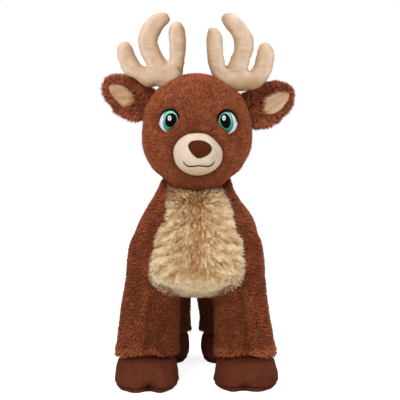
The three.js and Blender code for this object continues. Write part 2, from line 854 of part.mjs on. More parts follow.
for (const side of sides) {
  const x = (side.sign * eyeSpacing) / 2;
  const shape = ovalShape(x, headCentre.z + eyeRise, eyeHalfWidth, eyeHalfHeight, eyeSides);
  const prism = frontPrism(shape, headCentre.y - headCheekRadius - overrun, headCentre.y);
  const patch = solidOf(headForm(seatGap + eyeThickness)).subtract(headSeat).intersect(prism);
  addPiece(head, `eye_${side.name}`, patch, 'eyeThread');
}

// Ears and antlers, each cut clear of the head through its own range
for (const side of sides) {
  const { base } = earFrame(side);
  const ear = bodyGroup(`ear_${side.name}`, base);
  const headCopy = headForm(runningGap);
  const earAngles = [-earFlopDownAngle, -earFlopDownAngle / 2, 0, earFlopUpAngle];
  const earRange = earAngles.map((degrees) => degrees * side.sign);
  const headRoom = swept(headCopy, base, yAxis, earRange);
  const forward = earHalfThickness - earLiningThickness / 2;
  const liningSize = [earLiningShare, earLiningThickness, forward, earLiningStartShare, earLiningEndShare];
  const lining = solidOf(earForm(side, ...liningSize, 0)).subtract(headRoom);
  const liningRoom = solidOf(earForm(side, ...liningSize, seatGap));
  const leaf = solidOf(earForm(side, 1, earHalfThickness, 0, 0, 1, 0));
  addPiece(ear, `ear_back_${side.name}`, leaf.subtract(liningRoom).subtract(headRoom), 'brownPile');
  addPiece(ear, `ear_lining_${side.name}`, lining, 'creamPlush');

  const antler = bodyGroup(`antler_${side.name}`, antlerBase(side));
  const antlerRoom = swept(headCopy, antlerBase(side), xAxis, [-antlerTiltAngle, 0, antlerTiltAngle]);
  const antlerHollow = antlerSolid(side, -clothThickness, tineCoreSides);
  const antlerCover = antlerSolid(side, 0, tineSides).subtract(antlerHollow).subtract(antlerRoom);
  const antlerCore = antlerSolid(side, -clothThickness - seatGap, tineCoreSides).subtract(antlerRoom);
  addPiece(
    antler,
    `antler_front_${side.name}`,
    antlerCover.intersect(halfSpace('y', headCentre.y, -1)),
    'antlerPlush',
  );
  addPiece(
    antler,
    `antler_back_${side.name}`,
    antlerCover.intersect(halfSpace('y', headCentre.y, 1)),
    'antlerPlush',
  );
  addPiece(antler, `antler_stuffing_${side.name}`, antlerCore, 'stuffing');
}

// Leg pieces
for (const { leg, side, pivot } of legs) {
  const name = `${leg.name}_${side.name}`;
  const group = bodyGroup(`leg_${name}`, pivot);
  const cover = solidOf(legForm(leg, side.sign, 0, cuffHeight))
    .subtract(solidOf(legForm(leg, side.sign, -clothThickness, cuffHeight - overrun)));
  addPiece(group, `leg_outer_${name}`, cover.intersect(legSide(leg, side.sign, side.sign)), 'brownPile');
  addPiece(group, `leg_inner_${name}`, cover.intersect(legSide(leg, side.sign, -side.sign)), 'brownPile');
  const coreLow = hoofTop + seatGap;
  const core = solidOf(legForm(leg, side.sign, -coreInset, coreLow, { domeSteps: legCoreDomeSteps }));
  addPiece(group, `leg_stuffing_${name}`, core, 'stuffing');

  const wallLow = soleThickness + seatGap;
  const hoofHollow = solidOf(hoofForm(leg, side.sign, -clothThickness, -overrun, hoofTop + overrun));
  const hoofCover = solidOf(hoofForm(leg, side.sign, 0, wallLow, hoofTop)).subtract(hoofHollow);
  const hoofCore = solidOf(hoofForm(leg, side.sign, -coreInset, wallLow, hoofTop));
  addPiece(group, `hoof_cover_${name}`, hoofCover, 'hoofSuede');
  addPiece(group, `hoof_stuffing_${name}`, hoofCore, 'stuffing');
  addPiece(group, `hoof_sole_${name}`, solidOf(hoofForm(leg, side.sign, 0, 0, soleThickness)), 'hoofSuede');
}

// Tail pieces
const tail = bodyGroup('tail', tailBase);
const tailAngles = [-tailLiftAngle, -tailLiftAngle / 2, 0, tailDropAngle];
const tailRoom = swept(torsoForm(runningGap), tailBase, xAxis, tailAngles);
const tailSolid = solidOf(tailForm()).subtract(tailRoom);
addPiece(tail, 'tail_top', tailSolid.intersect(tailHalf(1)), 'brownPile');
addPiece(tail, 'tail_under', tailSolid.intersect(tailHalf(-1)), 'creamPlush');

// The origin is under the middle of the whole deer, on the floor
const box = new THREE.Box3().setFromObject(deer);
deer.position.set(-(box.min.x + box.max.x) / 2, -(box.min.y + box.max.y) / 2, -box.min.z);

export default deer;
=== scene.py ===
import json
import math
from functools import partial

import bmesh
import bpy
import numpy as np
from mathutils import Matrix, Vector, noise
from mathutils.bvhtree import BVHTree
from mathutils.geometry import delaunay_2d_cdt

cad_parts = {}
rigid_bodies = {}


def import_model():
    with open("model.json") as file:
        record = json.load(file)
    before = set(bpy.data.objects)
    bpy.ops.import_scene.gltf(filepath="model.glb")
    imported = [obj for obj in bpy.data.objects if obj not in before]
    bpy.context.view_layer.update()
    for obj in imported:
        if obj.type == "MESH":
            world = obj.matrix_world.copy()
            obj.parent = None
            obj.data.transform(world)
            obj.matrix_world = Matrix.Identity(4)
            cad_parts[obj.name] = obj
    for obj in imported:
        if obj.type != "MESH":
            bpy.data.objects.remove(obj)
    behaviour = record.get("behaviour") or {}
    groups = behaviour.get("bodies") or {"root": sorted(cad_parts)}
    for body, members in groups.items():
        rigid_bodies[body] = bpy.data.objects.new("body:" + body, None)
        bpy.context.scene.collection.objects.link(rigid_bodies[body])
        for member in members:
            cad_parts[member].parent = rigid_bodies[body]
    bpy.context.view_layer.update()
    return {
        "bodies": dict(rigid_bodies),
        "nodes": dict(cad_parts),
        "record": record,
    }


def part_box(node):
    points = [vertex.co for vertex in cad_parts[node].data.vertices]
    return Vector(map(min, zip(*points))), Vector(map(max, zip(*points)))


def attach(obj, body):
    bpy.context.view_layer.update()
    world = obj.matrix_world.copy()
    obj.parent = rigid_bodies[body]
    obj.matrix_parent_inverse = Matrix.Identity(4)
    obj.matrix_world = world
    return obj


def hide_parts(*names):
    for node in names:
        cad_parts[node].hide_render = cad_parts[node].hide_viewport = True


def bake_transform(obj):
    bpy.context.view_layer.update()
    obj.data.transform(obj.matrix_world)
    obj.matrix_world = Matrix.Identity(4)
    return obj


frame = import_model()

bl_info = {
    "name": "Standing plush deer",
    "version": (1, 0, 0),
    "blender": (4, 5, 0),
    "location": "View3D > Sidebar > Plush deer",
    "description": "Sewn skins, pile, face and hooves of a stuffed deer around its packed solids",
    "category": "Object",
}

MM = 0.001
SIDES = {"left": -1.0, "right": 1.0}  # as seen from the front
LEGS = [(row, side) for row in ("front", "rear") for side in SIDES]
JOINT = {j["name"]: j for j in frame["record"]["behaviour"]["joints"]}
HEAD = Vector(JOINT["head_nod"]["pos_m"])  # the middle of the head, where it nods
SKIN_VOXEL = 2.6 * MM  # how coarse the skins of body and head are
SKIN_RISE = -0.8 * MM  # these skins lie inside the solids, and their pile comes out to the solids' size
BLADE_MAP = "OFBake"  # a blade lies on this map by its tone from left to right and along its length upwards
MAP_EDGE = 0.02  # kept free at the edges of the map
MAP_BLADE = 0.002  # half a blade's width on the map

# The photograph: 400 pixels wide, taken from the front a little above the toy
IMAGE_WIDTH = 400
TOY_COLUMN = 197.5  # the middle of the toy
CAMERA_PLACE = Vector((0.0026, -1.7226, 0.3649))
CAMERA_TARGET = Vector((0.0026, -0.0304, 0.202))
CAMERA_LENS = 135.4
SENSOR_WIDTH = 36.0
FOCAL = CAMERA_LENS / SENSOR_WIDTH * IMAGE_WIDTH
AHEAD = (CAMERA_TARGET - CAMERA_PLACE).normalized()
ACROSS = AHEAD.cross(Vector((0, 0, 1))).normalized()
UPWARD = ACROSS.cross(AHEAD)

# Outlines of the parts on show, in the photograph's pixels
EYES = {
    "left": {
        "white": [
            (167.5, 132.1), (163.7, 130.7), (160.8, 127.7), (159.1, 123.9), (158.6, 119.8), (159.6, 115.9),
            (162.8, 112.1), (168.2, 109.6), (172.3, 109.4), (175.3, 111.6), (177.6, 115.2), (177.6, 118.6),
            (176.2, 120.2), (173.9, 123.0), (170.4, 126.8),
        ],
        "iris": [
            (167.3, 131.9), (165.3, 130.3), (163.5, 127.4), (162.8, 123.6), (162.8, 119.8), (163.5, 115.9),
            (165.0, 112.4), (168.5, 110.1), (172.3, 109.9), (175.5, 111.8), (177.9, 115.3), (178.5, 119.6),
            (175.5, 122.8), (171.7, 126.9),
        ],
        "pupil": [
            (165.0, 121.3), (165.4, 117.4), (167.2, 114.4), (169.7, 113.1), (172.5, 113.0), (175.0, 114.3),
            (176.7, 116.7), (177.2, 119.1), (176.3, 121.4), (173.8, 124.8), (171.0, 127.1), (168.5, 127.3),
            (166.4, 125.8), (165.3, 123.7),
        ],
        "light": (169.5, 118.2),
        "lid": [
            (158.8, 122.2), (159.6, 117.6), (161.8, 113.9), (165.4, 110.9), (169.6, 109.5), (173.3, 109.9),
            (176.2, 112.3), (178.0, 115.6), (178.7, 118.6),
        ],
        "lid_widths": [0.6, 1.2, 1.4, 1.6, 1.9, 2.2, 2.2, 1.6, 0.7],
    },
    "right": {
        "white": [
            (228.8, 133.8), (231.3, 133.0), (234.2, 131.1), (236.5, 127.4), (237.4, 123.3), (237.1, 120.4),
            (236.1, 116.9), (233.5, 112.9), (229.7, 110.3), (225.9, 110.0), (222.7, 111.0), (220.0, 113.3),
            (218.3, 117.2), (218.2, 120.6), (219.2, 122.6), (221.4, 125.4), (224.4, 129.0), (227.2, 131.2),
        ],
        "iris": [
            (228.8, 132.7), (231.3, 130.6), (233.2, 127.4), (233.9, 123.6), (233.2, 119.8), (231.6, 115.3),
            (229.1, 111.8), (226.5, 111.2), (224.0, 111.7), (220.8, 113.7), (218.6, 117.5), (217.7, 122.0),
            (220.2, 125.4), (223.3, 129.5), (226.5, 131.2),
        ],
        "pupil": [
            (219.8, 119.1), (220.8, 115.9), (222.7, 113.8), (225.3, 113.2), (227.7, 114.4), (229.7, 117.2),
            (230.8, 121.0), (230.5, 125.0), (229.0, 127.6), (226.3, 128.9), (223.9, 127.7), (221.6, 124.9),
            (220.2, 122.0),
        ],
        "light": (224.0, 118.0),
        "lid": [
            (217.6, 121.4), (218.1, 117.2), (220.0, 113.6), (222.9, 111.3), (226.3, 110.4), (230.3, 111.2),
            (233.8, 113.8), (236.2, 117.6), (237.3, 121.9),
        ],
        "lid_widths": [0.8, 1.8, 2.0, 2.1, 2.2, 2.1, 1.8, 1.5, 0.7],
    },
}
MUZZLE = [
    (173.1, 152.9), (173.9, 147.2), (177.1, 141.5), (181.9, 137.0), (188.3, 133.9), (197.2, 132.8),
    (206.1, 133.8), (212.5, 137.6), (217.6, 142.7), (221.4, 147.8), (222.9, 152.9), (222.4, 159.3),
    (220.2, 164.4), (216.3, 168.9), (210.6, 172.7), (204.2, 174.9), (198.5, 175.8), (192.1, 175.3),
    (185.7, 173.0), (180.0, 169.2), (176.1, 164.4), (173.9, 158.7),
]
NOSE = [
    (187.9, 145.9), (188.6, 144.0), (190.5, 141.8), (194.0, 140.5), (198.5, 140.1), (202.9, 140.6),
    (206.8, 142.2), (210.3, 144.6), (211.9, 147.5), (211.7, 150.4), (209.9, 153.3), (206.8, 155.8),
    (203.6, 157.3), (200.4, 158.4), (197.2, 158.2), (194.6, 156.4), (191.5, 153.3), (189.2, 149.7),
]
MOUTH = [
    (182.7, 161.1), (183.8, 162.8), (185.7, 164.9), (187.9, 166.2), (190.8, 166.5), (194.6, 166.3),
    (199.1, 165.9), (203.6, 166.3), (207.4, 166.5), (209.9, 166.1), (212.2, 164.7), (213.8, 162.8),
    (214.9, 161.1),
]
LININGS = {
    "left": [
        (107.9, 87.8), (108.8, 85.8), (110.4, 84.5), (113.0, 83.7), (115.5, 83.5), (118.6, 83.8),
        (121.6, 84.5), (125.7, 86.3), (130.3, 90.1), (134.4, 95.7), (136.4, 99.8), (134.9, 102.9),
        (129.8, 106.4), (122.7, 108.2), (118.6, 103.9), (115.5, 100.8), (113.0, 98.3), (110.9, 95.7),
        (109.1, 92.1),
    ],
    "right": [
        (290.4, 94.5), (289.6, 97.8), (288.4, 101.0), (285.5, 104.7), (282.3, 109.0), (278.8, 111.5),
        (275.7, 113.6), (273.2, 114.6), (269.6, 115.1), (265.6, 114.1), (262.0, 112.0), (261.0, 109.0),
        (261.5, 104.9), (262.5, 100.8), (263.0, 97.2), (266.0, 95.2), (270.6, 93.2), (274.7, 91.4),
        (279.8, 90.6), (284.9, 90.7), (287.5, 91.6), (289.8, 92.9),
    ],
}
EARS = {
    "left": [
        (160.0, 92.0), (155.4, 89.2), (150.0, 84.8), (143.0, 80.4), (135.9, 77.9), (130.8, 75.8),
        (125.7, 75.0), (120.6, 74.8), (115.5, 74.8), (110.4, 75.9), (105.4, 78.5), (103.2, 83.2),
        (102.2, 89.6), (104.3, 95.2), (107.6, 101.0), (111.7, 104.9), (114.5, 111.0), (118.6, 114.1),
        (122.7, 117.1), (127.8, 120.0), (133.4, 122.4), (139.0, 122.0), (144.2, 121.0), (149.0, 119.5),
        (158.0, 116.0), (164.0, 102.0),
    ],
    "right": [
        (236.0, 93.0), (241.5, 93.0), (245.0, 90.5), (250.5, 86.5), (262.0, 82.8), (268.6, 82.4),
        (272.7, 81.0), (278.8, 81.2), (283.9, 82.7), (288.0, 84.0), (291.3, 86.3), (293.7, 90.3),
        (294.7, 93.4), (294.4, 96.7), (293.0, 103.4), (289.8, 110.0), (286.9, 112.6), (282.3, 116.4),
        (278.3, 121.5), (273.7, 124.5), (270.6, 126.8), (265.5, 128.6), (260.4, 129.6), (255.3, 130.2),
        (248.0, 129.0), (238.0, 118.0), (235.0, 104.0),
    ],
}
ANTLERS = {
    "left": [
        (130.5, 76.9), (124.5, 74.6), (120.9, 67.6), (117.8, 58.7), (116.8, 51.0), (117.8, 45.9),
        (120.9, 42.7), (125.4, 41.5), (129.4, 43.0), (133.0, 48.2), (136.2, 56.1), (139.8, 62.4),
        (143.2, 65.8), (147.4, 66.8), (145.2, 62.6), (141.8, 57.4), (138.8, 48.5), (137.5, 40.8),
        (138.8, 33.2), (142.6, 24.9), (148.4, 18.2), (154.7, 13.9), (161.1, 12.2), (166.0, 13.0),
        (169.7, 16.8), (169.8, 20.8), (167.6, 24.0), (162.8, 29.4), (160.0, 35.1), (158.2, 40.8),
        (159.3, 45.9), (162.1, 52.9), (167.9, 61.4), (169.3, 57.4), (169.5, 51.0), (168.8, 40.8),
        (168.0, 33.2), (169.2, 27.6), (172.0, 23.5), (176.2, 21.6), (181.0, 23.0), (184.2, 28.4),
        (186.0, 38.3), (186.0, 49.7), (184.7, 61.2), (183.1, 73.3), (181.0, 82.0), (173.0, 90.0),
        (163.0, 89.6), (157.0, 86.4), (151.5, 87.2), (146.0, 86.4), (140.7, 83.3), (136.9, 80.1),
    ],
    "right": [
        (212.2, 75.6), (208.7, 65.7), (206.6, 54.8), (206.0, 44.6), (206.8, 33.2), (208.5, 28.6),
        (213.3, 26.9), (218.2, 28.7), (221.5, 33.8), (223.0, 40.8), (223.2, 52.3), (225.4, 66.3),
        (227.2, 66.3), (230.2, 59.3), (233.2, 52.3), (234.2, 45.9), (233.2, 39.5), (230.9, 34.4),
        (226.7, 29.3), (222.4, 23.6), (221.4, 19.1), (223.1, 14.7), (227.5, 13.1), (233.3, 13.7),
        (239.6, 17.9), (245.4, 23.6), (250.5, 30.6), (253.0, 37.6), (253.7, 45.9), (252.7, 53.6),
        (250.5, 60.6), (248.3, 68.6), (249.7, 71.2), (252.9, 66.9), (255.1, 60.6), (256.9, 52.3),
        (258.8, 47.2), (261.3, 43.4), (265.2, 42.4), (269.6, 44.0), (272.8, 47.8), (274.4, 53.6),
        (274.4, 61.2), (272.2, 70.8), (267.7, 79.7), (262.0, 86.1), (255.6, 89.3), (249.2, 90.6),
        (242.2, 91.3), (231.0, 91.0), (220.0, 86.0),
    ],
}
CHEST = [
    (168.4, 175.0), (167.4, 183.1), (166.4, 189.9), (166.2, 195.3), (166.2, 205.2), (164.5, 218.3),
    (158.0, 233.6), (155.0, 244.3), (153.1, 256.5), (151.5, 270.3), (151.5, 278.7), (154.6, 284.1),
    (159.9, 289.4), (169.9, 294.4), (184.4, 298.2), (195.9, 299.0), (211.2, 297.4), (222.7, 294.0),
    (233.4, 287.9), (240.3, 283.3), (243.0, 277.2), (244.5, 262.6), (242.2, 248.9), (241.4, 239.7),
    (236.5, 232.0), (233.4, 222.8), (232.2, 212.1), (230.0, 205.2), (228.4, 198.4), (225.0, 189.9),
    (223.5, 184.6), (222.5, 175.0),
]


# Plain helpers


def linear(code):
    """An sRGB hex colour as linear red, green, blue, alpha."""
    channels = [int(code[i : i + 2], 16) / 255 for i in (1, 3, 5)]
    return [c / 12.92 if c <= 0.04045 else ((c + 0.055) / 1.055) ** 2.4 for c in channels] + [1.0]


def feed(tree, made, links):
    """Gives each input of a node a value or another node's output."""
    for key, value in links.items():
        socket = made.inputs[key]
        if isinstance(value, bpy.types.NodeSocket):
            tree.links.new(value, socket)
        else:
            socket.default_value = value


def node(tree, kind, links=None, **settings):
    """Adds a node, sets it up and feeds its inputs."""
    made = tree.nodes.new(kind)
    for key, value in settings.items():
        setattr(made, key, value)
    feed(tree, made, links or {})
    return made


def math_node(tree, operation, *values):
    """The result of a maths node."""
    return node(tree, "ShaderNodeMath", dict(enumerate(values)), operation=operation).outputs[0]


def vector_node(tree, operation, *values):
    """The result of a vector maths node; to scale, it takes a vector and a factor."""
    inputs = (0, "Scale") if operation == "SCALE" else (0, 1, 2)
    return node(tree, "ShaderNodeVectorMath", dict(zip(inputs, values)), operation=operation).outputs[0]


def ramp(tree, factor, stops):
    """A colour ramp over (place, colour) stops."""
    made = node(tree, "ShaderNodeValToRGB", {0: factor})
    elements = made.color_ramp.elements
    while len(elements) < len(stops):
        elements.new(0.5)
    for element, (place, colour) in zip(elements, stops):
        element.position = place
        element.color = colour
    return made.outputs[0]


def smooth(low, high, value):
    """From 0 at low to 1 at high in an even curve; low may be the larger one."""
    share = np.clip((value - low) / (high - low), 0.0, 1.0)
    return share * share * (3 - 2 * share)


def unit(arrows):
    """The arrows with a length of one each."""
    return arrows / np.maximum(np.linalg.norm(arrows, axis=1, keepdims=True), 1e-6)


def shown(name, data):
    """A new object in the scene."""
    piece = bpy.data.objects.new(name, data)
    bpy.context.scene.collection.objects.link(piece)
    return piece


def arrows_of(parts, name):
    """A vector of each point or face of a mesh, as rows of numbers."""
    found = np.empty(len(parts) * 3, np.float32)
    parts.foreach_get(name, found)
    return found.reshape(-1, 3).astype(float)


def places_of(mesh):
    return arrows_of(mesh.vertices, "co")


def normals_of(mesh):
    return arrows_of(mesh.vertex_normals, "vector")


def form_of(mesh):
    return places_of(mesh), normals_of(mesh)


def set_places(mesh, places):
    """Moves a mesh's points."""
    mesh.vertices.foreach_set("co", places.astype(np.float32).ravel())
    mesh.update()


def store(mesh, name, values):
    """Gives each point of a mesh a number or a vector under a name."""
    kind = "FLOAT" if values.ndim == 1 else "FLOAT_VECTOR"
    attribute = mesh.attributes.get(name) or mesh.attributes.new(name, kind, "POINT")
    attribute.data.foreach_set("value" if values.ndim == 1 else "vector", values.astype(np.float32).ravel())


def applied(piece):
    """The piece's evaluated mesh takes the place of its own, and its modifiers go."""
    scene = bpy.context.evaluated_depsgraph_get()
    mesh = bpy.data.meshes.new_from_object(piece.evaluated_get(scene))
    piece.modifiers.clear()
    piece.data = mesh
    return piece


def evened(piece, rounds):
    """Smooths a piece, after what its other modifiers do."""
    even = piece.modifiers.new("Smooth", "SMOOTH")
    even.factor = 0.5
    even.iterations = rounds
    return applied(piece)


def mesh_from(bm, name):
    """The finished mesh, whose bmesh is freed."""
    mesh = bpy.data.meshes.new(name)
    bm.to_mesh(mesh)
    bm.free()
    return mesh


def merged_solids(name, nodes, voxel, rounds, rise=0.0):
    """One closed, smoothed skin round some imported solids."""
    bm = bmesh.new()
    for each in nodes:
        bm.from_mesh(frame["nodes"][each].data)
    bmesh.ops.remove_doubles(bm, verts=bm.verts, dist=1e-6)
    piece = shown(name, mesh_from(bm, name))
    remesh = piece.modifiers.new("Remesh", "REMESH")
    remesh.mode = "VOXEL"
    remesh.voxel_size = voxel
    evened(piece, rounds)
    if rise:
        places, normals = form_of(piece.data)
        set_places(piece.data, places + normals * rise)
    return piece


def noise_at(places, scale, seed):
    """Smooth noise from -1 to 1 at each place, with a feature about scale metres across."""
    offset = Vector((seed * 7.31, seed * 3.17, seed * 5.73))
    return np.array([noise.noise(Vector(p) / scale + offset) for p in places])


def lumps(places, *waves):
    """The unevenness of the filling: width and height of each wave in millimetres, and its seed."""
    return sum(noise_at(places, width * MM, seed) * height * MM for width, height, seed in waves)


def shade_smooth(mesh):
    mesh.polygons.foreach_set("use_smooth", np.ones(len(mesh.polygons), bool))


def dress(piece, kind, body=None, hides=()):
    """Gives a finished piece its finish, its body and the solids it stands for."""
    piece.data.materials.clear()
    piece.data.materials.append(finish(kind))
    shade_smooth(piece.data)
    if body:
        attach(piece, body)
    if hides:
        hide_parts(*hides)


# Pile: blades of mesh set over a skin by geometry nodes


def blade_mesh(name, steps, bend):
    """A tapered blade one unit long and wide, bent away from its face, with where each point lies on it."""
    places, along, side, faces = [], [], [], []
    for i in range(steps):
        share = i / steps
        half = 0.5 * (1 - share**2)
        for way in (-1, 1):
            places.append((way * half, -bend * share**2, share))
            along.append(share)
            side.append(way * (1 - share))
    places.append((0, -bend, 1))
    along.append(1.0)
    side.append(0.0)
    for i in range(steps - 1):
        low = 2 * i
        faces.append((low + 1, low, low + 2, low + 3))
    faces.append((2 * steps - 1, 2 * steps - 2, 2 * steps))
    mesh = bpy.data.meshes.new(name)
    mesh.from_pydata(places, [], faces)
    store(mesh, "along", np.array(along))
    store(mesh, "side", np.array(side))
    return mesh


# The pile's settings: blades to the square metre, sizes in metres, how far a blade stands up, lies along the
# comb, strays, twists and leans to the middle of its tuft, and how far its patch and its tuft change its tone
PILE_INPUTS = {
    "Density": 4e6, "Length": 4.5 * MM, "Width": 0.8 * MM, "Lift": 0.8, "Lay": 0.7, "Jitter": 0.4,
    "Twist": 0.5, "Tuft size": 4 * MM, "Tuft pull": 0.5, "Patch size": 16 * MM, "Patch tone": 0.9,
    "Tuft tone": 0.3,
}
BLADES = {"blade_short": (1, 0), "blade_bent": (2, 0.15)}  # the steps of each blade, and how far it bends


def pile_tree():
    """Points over the skin, a blade on each, laid along the comb and drawn together in tufts."""
    tree = bpy.data.node_groups.new("Plush pile", "GeometryNodeTree")
    tree.interface.new_socket("Geometry", in_out="INPUT", socket_type="NodeSocketGeometry")
    for name, value in PILE_INPUTS.items():
        socket = tree.interface.new_socket(name, in_out="INPUT", socket_type="NodeSocketFloat")
        socket.default_value = value
    for name, kind in (("Blade", "Object"), ("Fibre", "Material"), ("Seed", "Int")):
        tree.interface.new_socket(name, in_out="INPUT", socket_type=f"NodeSocket{kind}")
    tree.interface.new_socket("Geometry", in_out="OUTPUT", socket_type="NodeSocketGeometry")
    given = node(tree, "NodeGroupInput").outputs
    maths, vectors = partial(math_node, tree), partial(vector_node, tree)

    def attribute(name, kind="FLOAT"):
        return node(tree, "GeometryNodeInputNamedAttribute", {"Name": name}, data_type=kind).outputs[0]

    def stored(geometry, name, value, kind):
        links = {"Geometry": geometry, "Name": name, "Value": value}
        return node(tree, "GeometryNodeStoreNamedAttribute", links, data_type=kind).outputs[0]

    def chance(low, high, more):
        limits = {2: low, 3: high, "Seed": maths("ADD", given["Seed"], more)}
        return node(tree, "FunctionNodeRandomValue", limits, data_type="FLOAT").outputs[1]

    def features(size):
        return {"Vector": place, "Scale": maths("DIVIDE", 1.0, given[size])}

    density = maths("MULTIPLY", given["Density"], attribute("cover"))
    sown = {"Mesh": given["Geometry"], "Density": density, "Seed": given["Seed"]}
    points = node(tree, "GeometryNodeDistributePointsOnFaces", sown).outputs
    place = node(tree, "GeometryNodeInputPosition").outputs[0]
    named = stored(points["Points"], "skin", points["Normal"], "FLOAT_VECTOR")
    skin = attribute("skin", "FLOAT_VECTOR")
    length = maths("MULTIPLY", given["Length"], attribute("nap"))
    # Which way each blade goes: up from the skin, along the comb, to the middle of its tuft, and by chance
    tuft = node(tree, "ShaderNodeTexVoronoi", features("Tuft size")).outputs
    gather = maths("DIVIDE", given["Tuft pull"], maths("MAXIMUM", length, 1e-4))
    pull = vectors("SCALE", vectors("SUBTRACT", tuft["Position"], place), gather)
    limits = {0: (-1, -1, -1), 1: (1, 1, 1), "Seed": maths("ADD", given["Seed"], 11)}
    wild = node(tree, "FunctionNodeRandomValue", limits, data_type="FLOAT_VECTOR").outputs[0]
    laid = vectors("SCALE", attribute("comb", "FLOAT_VECTOR"), given["Lay"])
    way = vectors("ADD", vectors("SCALE", skin, given["Lift"]), laid)
    way = vectors("ADD", way, vectors("ADD", pull, vectors("SCALE", wild, given["Jitter"])))
    across = vectors("ADD", vectors("CROSS_PRODUCT", skin, way), vectors("SCALE", wild, given["Twist"]))
    stood = node(tree, "FunctionNodeAlignRotationToVector", {"Vector": way}, axis="Z").outputs[0]
    turn = {"Rotation": stood, "Vector": across}
    turned = node(tree, "FunctionNodeAlignRotationToVector", turn, axis="X", pivot_axis="Z").outputs[0]
    long = maths("MULTIPLY", length, chance(0.7, 1.15, 3))
    wide = maths("MULTIPLY", given["Width"], chance(0.7, 1.3, 5))
    size = node(tree, "ShaderNodeCombineXYZ", {0: wide, 1: long, 2: long}).outputs[0]
    # The tone of each blade: by broad patches, by its tuft, by chance and by the light and shade painted on
    # the skin
    patches = node(tree, "ShaderNodeTexNoise", {**features("Patch size"), "Detail": 2.0}).outputs[0]
    cell = node(tree, "FunctionNodeSeparateColor", {0: tuft["Color"]}).outputs[0]
    tone = maths("MULTIPLY", maths("SUBTRACT", patches, 0.5), given["Patch tone"])
    tone = maths("MULTIPLY_ADD", maths("SUBTRACT", cell, 0.5), given["Tuft tone"], maths("ADD", tone, 0.25))
    tone = maths("ADD", maths("ADD", tone, chance(-0.22, 0.22, 7)), attribute("shade"))
    tinted = stored(named, "tone", tone, "FLOAT")
    blade = node(tree, "GeometryNodeObjectInfo", {"Object": given["Blade"], "As Instance": True})
    planting = {"Points": tinted, "Instance": blade.outputs["Geometry"], "Rotation": turned, "Scale": size}
    planted = node(tree, "GeometryNodeInstanceOnPoints", planting).outputs[0]
    real = node(tree, "GeometryNodeRealizeInstances", {"Geometry": planted}).outputs[0]
    painted_light_and_mottle = node(tree, "GeometryNodeSetMaterial", {"Geometry": real, "Material": given["Fibre"]}).outputs[0]
    node(tree, "NodeGroupOutput", {"Geometry": painted_light_and_mottle})
    return tree


def pile(name, skin, material, hair, seed, settings, soften):
    """The pile of one skin as a plain mesh, its light softened towards the skin's own."""
    tree = bpy.data.node_groups.get("Plush pile") or pile_tree()
    piece = shown(name, skin.data.copy())
    modifier = piece.modifiers.new("Pile", "NODES")
    modifier.node_group = tree
    values = {**PILE_INPUTS, **settings, "Blade": hair, "Fibre": material, "Seed": seed}
    for socket in tree.interface.items_tree:
        if socket.in_out == "INPUT" and socket.name in values:
            modifier[socket.identifier] = values[socket.name]
    mesh = applied(piece).data
    mesh.name = name

    def read(attribute, width=1):
        found = np.empty(len(mesh.vertices) * width, np.float32)
        mesh.attributes[attribute].data.foreach_get("value" if width == 1 else "vector", found)
        return found.reshape(-1, width) if width > 1 else found

    corner = np.empty(len(mesh.loops), np.int32)
    mesh.loops.foreach_get("vertex_index", corner)
    across = np.clip(read("tone"), MAP_EDGE, 1 - MAP_EDGE) + MAP_BLADE * read("side")
    places = np.stack([across, MAP_EDGE + (1 - 2 * MAP_EDGE) * read("along")], 1)[corner]
    mesh.uv_layers.new(name=BLADE_MAP).uv.foreach_set("vector", places.astype(np.float32).ravel())
    shade_smooth(mesh)
    lit = unit(soften * read("skin", 3) + (1 - soften) * normals_of(mesh))
    mesh.normals_split_custom_set_from_vertices(lit.tolist())
    for each in ("tone", "side", "along", "skin"):
        mesh.attributes.remove(mesh.attributes[each])
    return piece


# Places as the photograph shows them


def sight(px, py):
    """The camera's line of sight through a pixel."""
    return (AHEAD * FOCAL + ACROSS * (px - IMAGE_WIDTH / 2) + UPWARD * (IMAGE_WIDTH / 2 - py)).normalized()


def laid_on(ground, px, py, lift):
    """Where the line of sight through a pixel meets a surface, raised towards the camera."""
    way = sight(px, py)
    place = ground.ray_cast(CAMERA_PLACE, way)[0]
    if place is None:
        raise ValueError(f"nothing lies behind pixel {px}, {py}")
    return place - way * lift


def seen_at(places):
    """The pixel at which the camera sees each place."""
    away = places - np.array(CAMERA_PLACE)
    depth = away @ np.array(AHEAD)
    across, up = away @ np.array(ACROSS), away @ np.array(UPWARD)
    return IMAGE_WIDTH / 2 + FOCAL * across / depth, IMAGE_WIDTH / 2 - FOCAL * up / depth


def depth_inside(outline, x, y):
    """How far inside a closed outline each point lies; negative outside."""
    inside = np.zeros(len(x), bool)
    nearest = np.full(len(x), np.inf)
    for (ax, ay), (bx, by) in zip(outline, outline[1:] + outline[:1]):
        crosses = (ay > y) != (by > y)
        inside ^= crosses & (x < ax + (y - ay) * (bx - ax) / ((by - ay) or 1e-9))
        along = ((x - ax) * (bx - ax) + (y - ay) * (by - ay)) / ((bx - ax) ** 2 + (by - ay) ** 2)
        along = np.clip(along, 0, 1)
        nearest = np.minimum(nearest, np.hypot(x - ax - along * (bx - ax), y - ay - along * (by - ay)))
    return np.where(inside, nearest, -nearest)


def behind(outline, places, normals):
    """How far inside an outline the front of a skin lies, in pixels; the back counts as outside."""
    inside = depth_inside(outline, *seen_at(places))
    return np.where(normals @ np.array(AHEAD) < 0.1, inside, -9.0)


def curved(points, steps, closed=True):
    """A smooth line through the points."""
    count = len(points)
    spans = count if closed else count - 1

    def point(i):
        return np.array(points[i % count] if closed else points[min(max(i, 0), count - 1)], float)

    made = []
    for i in range(spans):
        a, b, c, d = (point(i + k) for k in (-1, 0, 1, 2))
        for k in range(steps):
            t = k / steps
            square, cube = 2 * a - 5 * b + 4 * c - d, 3 * b - a - 3 * c + d
            made.append(0.5 * (2 * b + (c - a) * t + square * t**2 + cube * t**3))
    if not closed:
        made.append(point(count - 1))
    return made


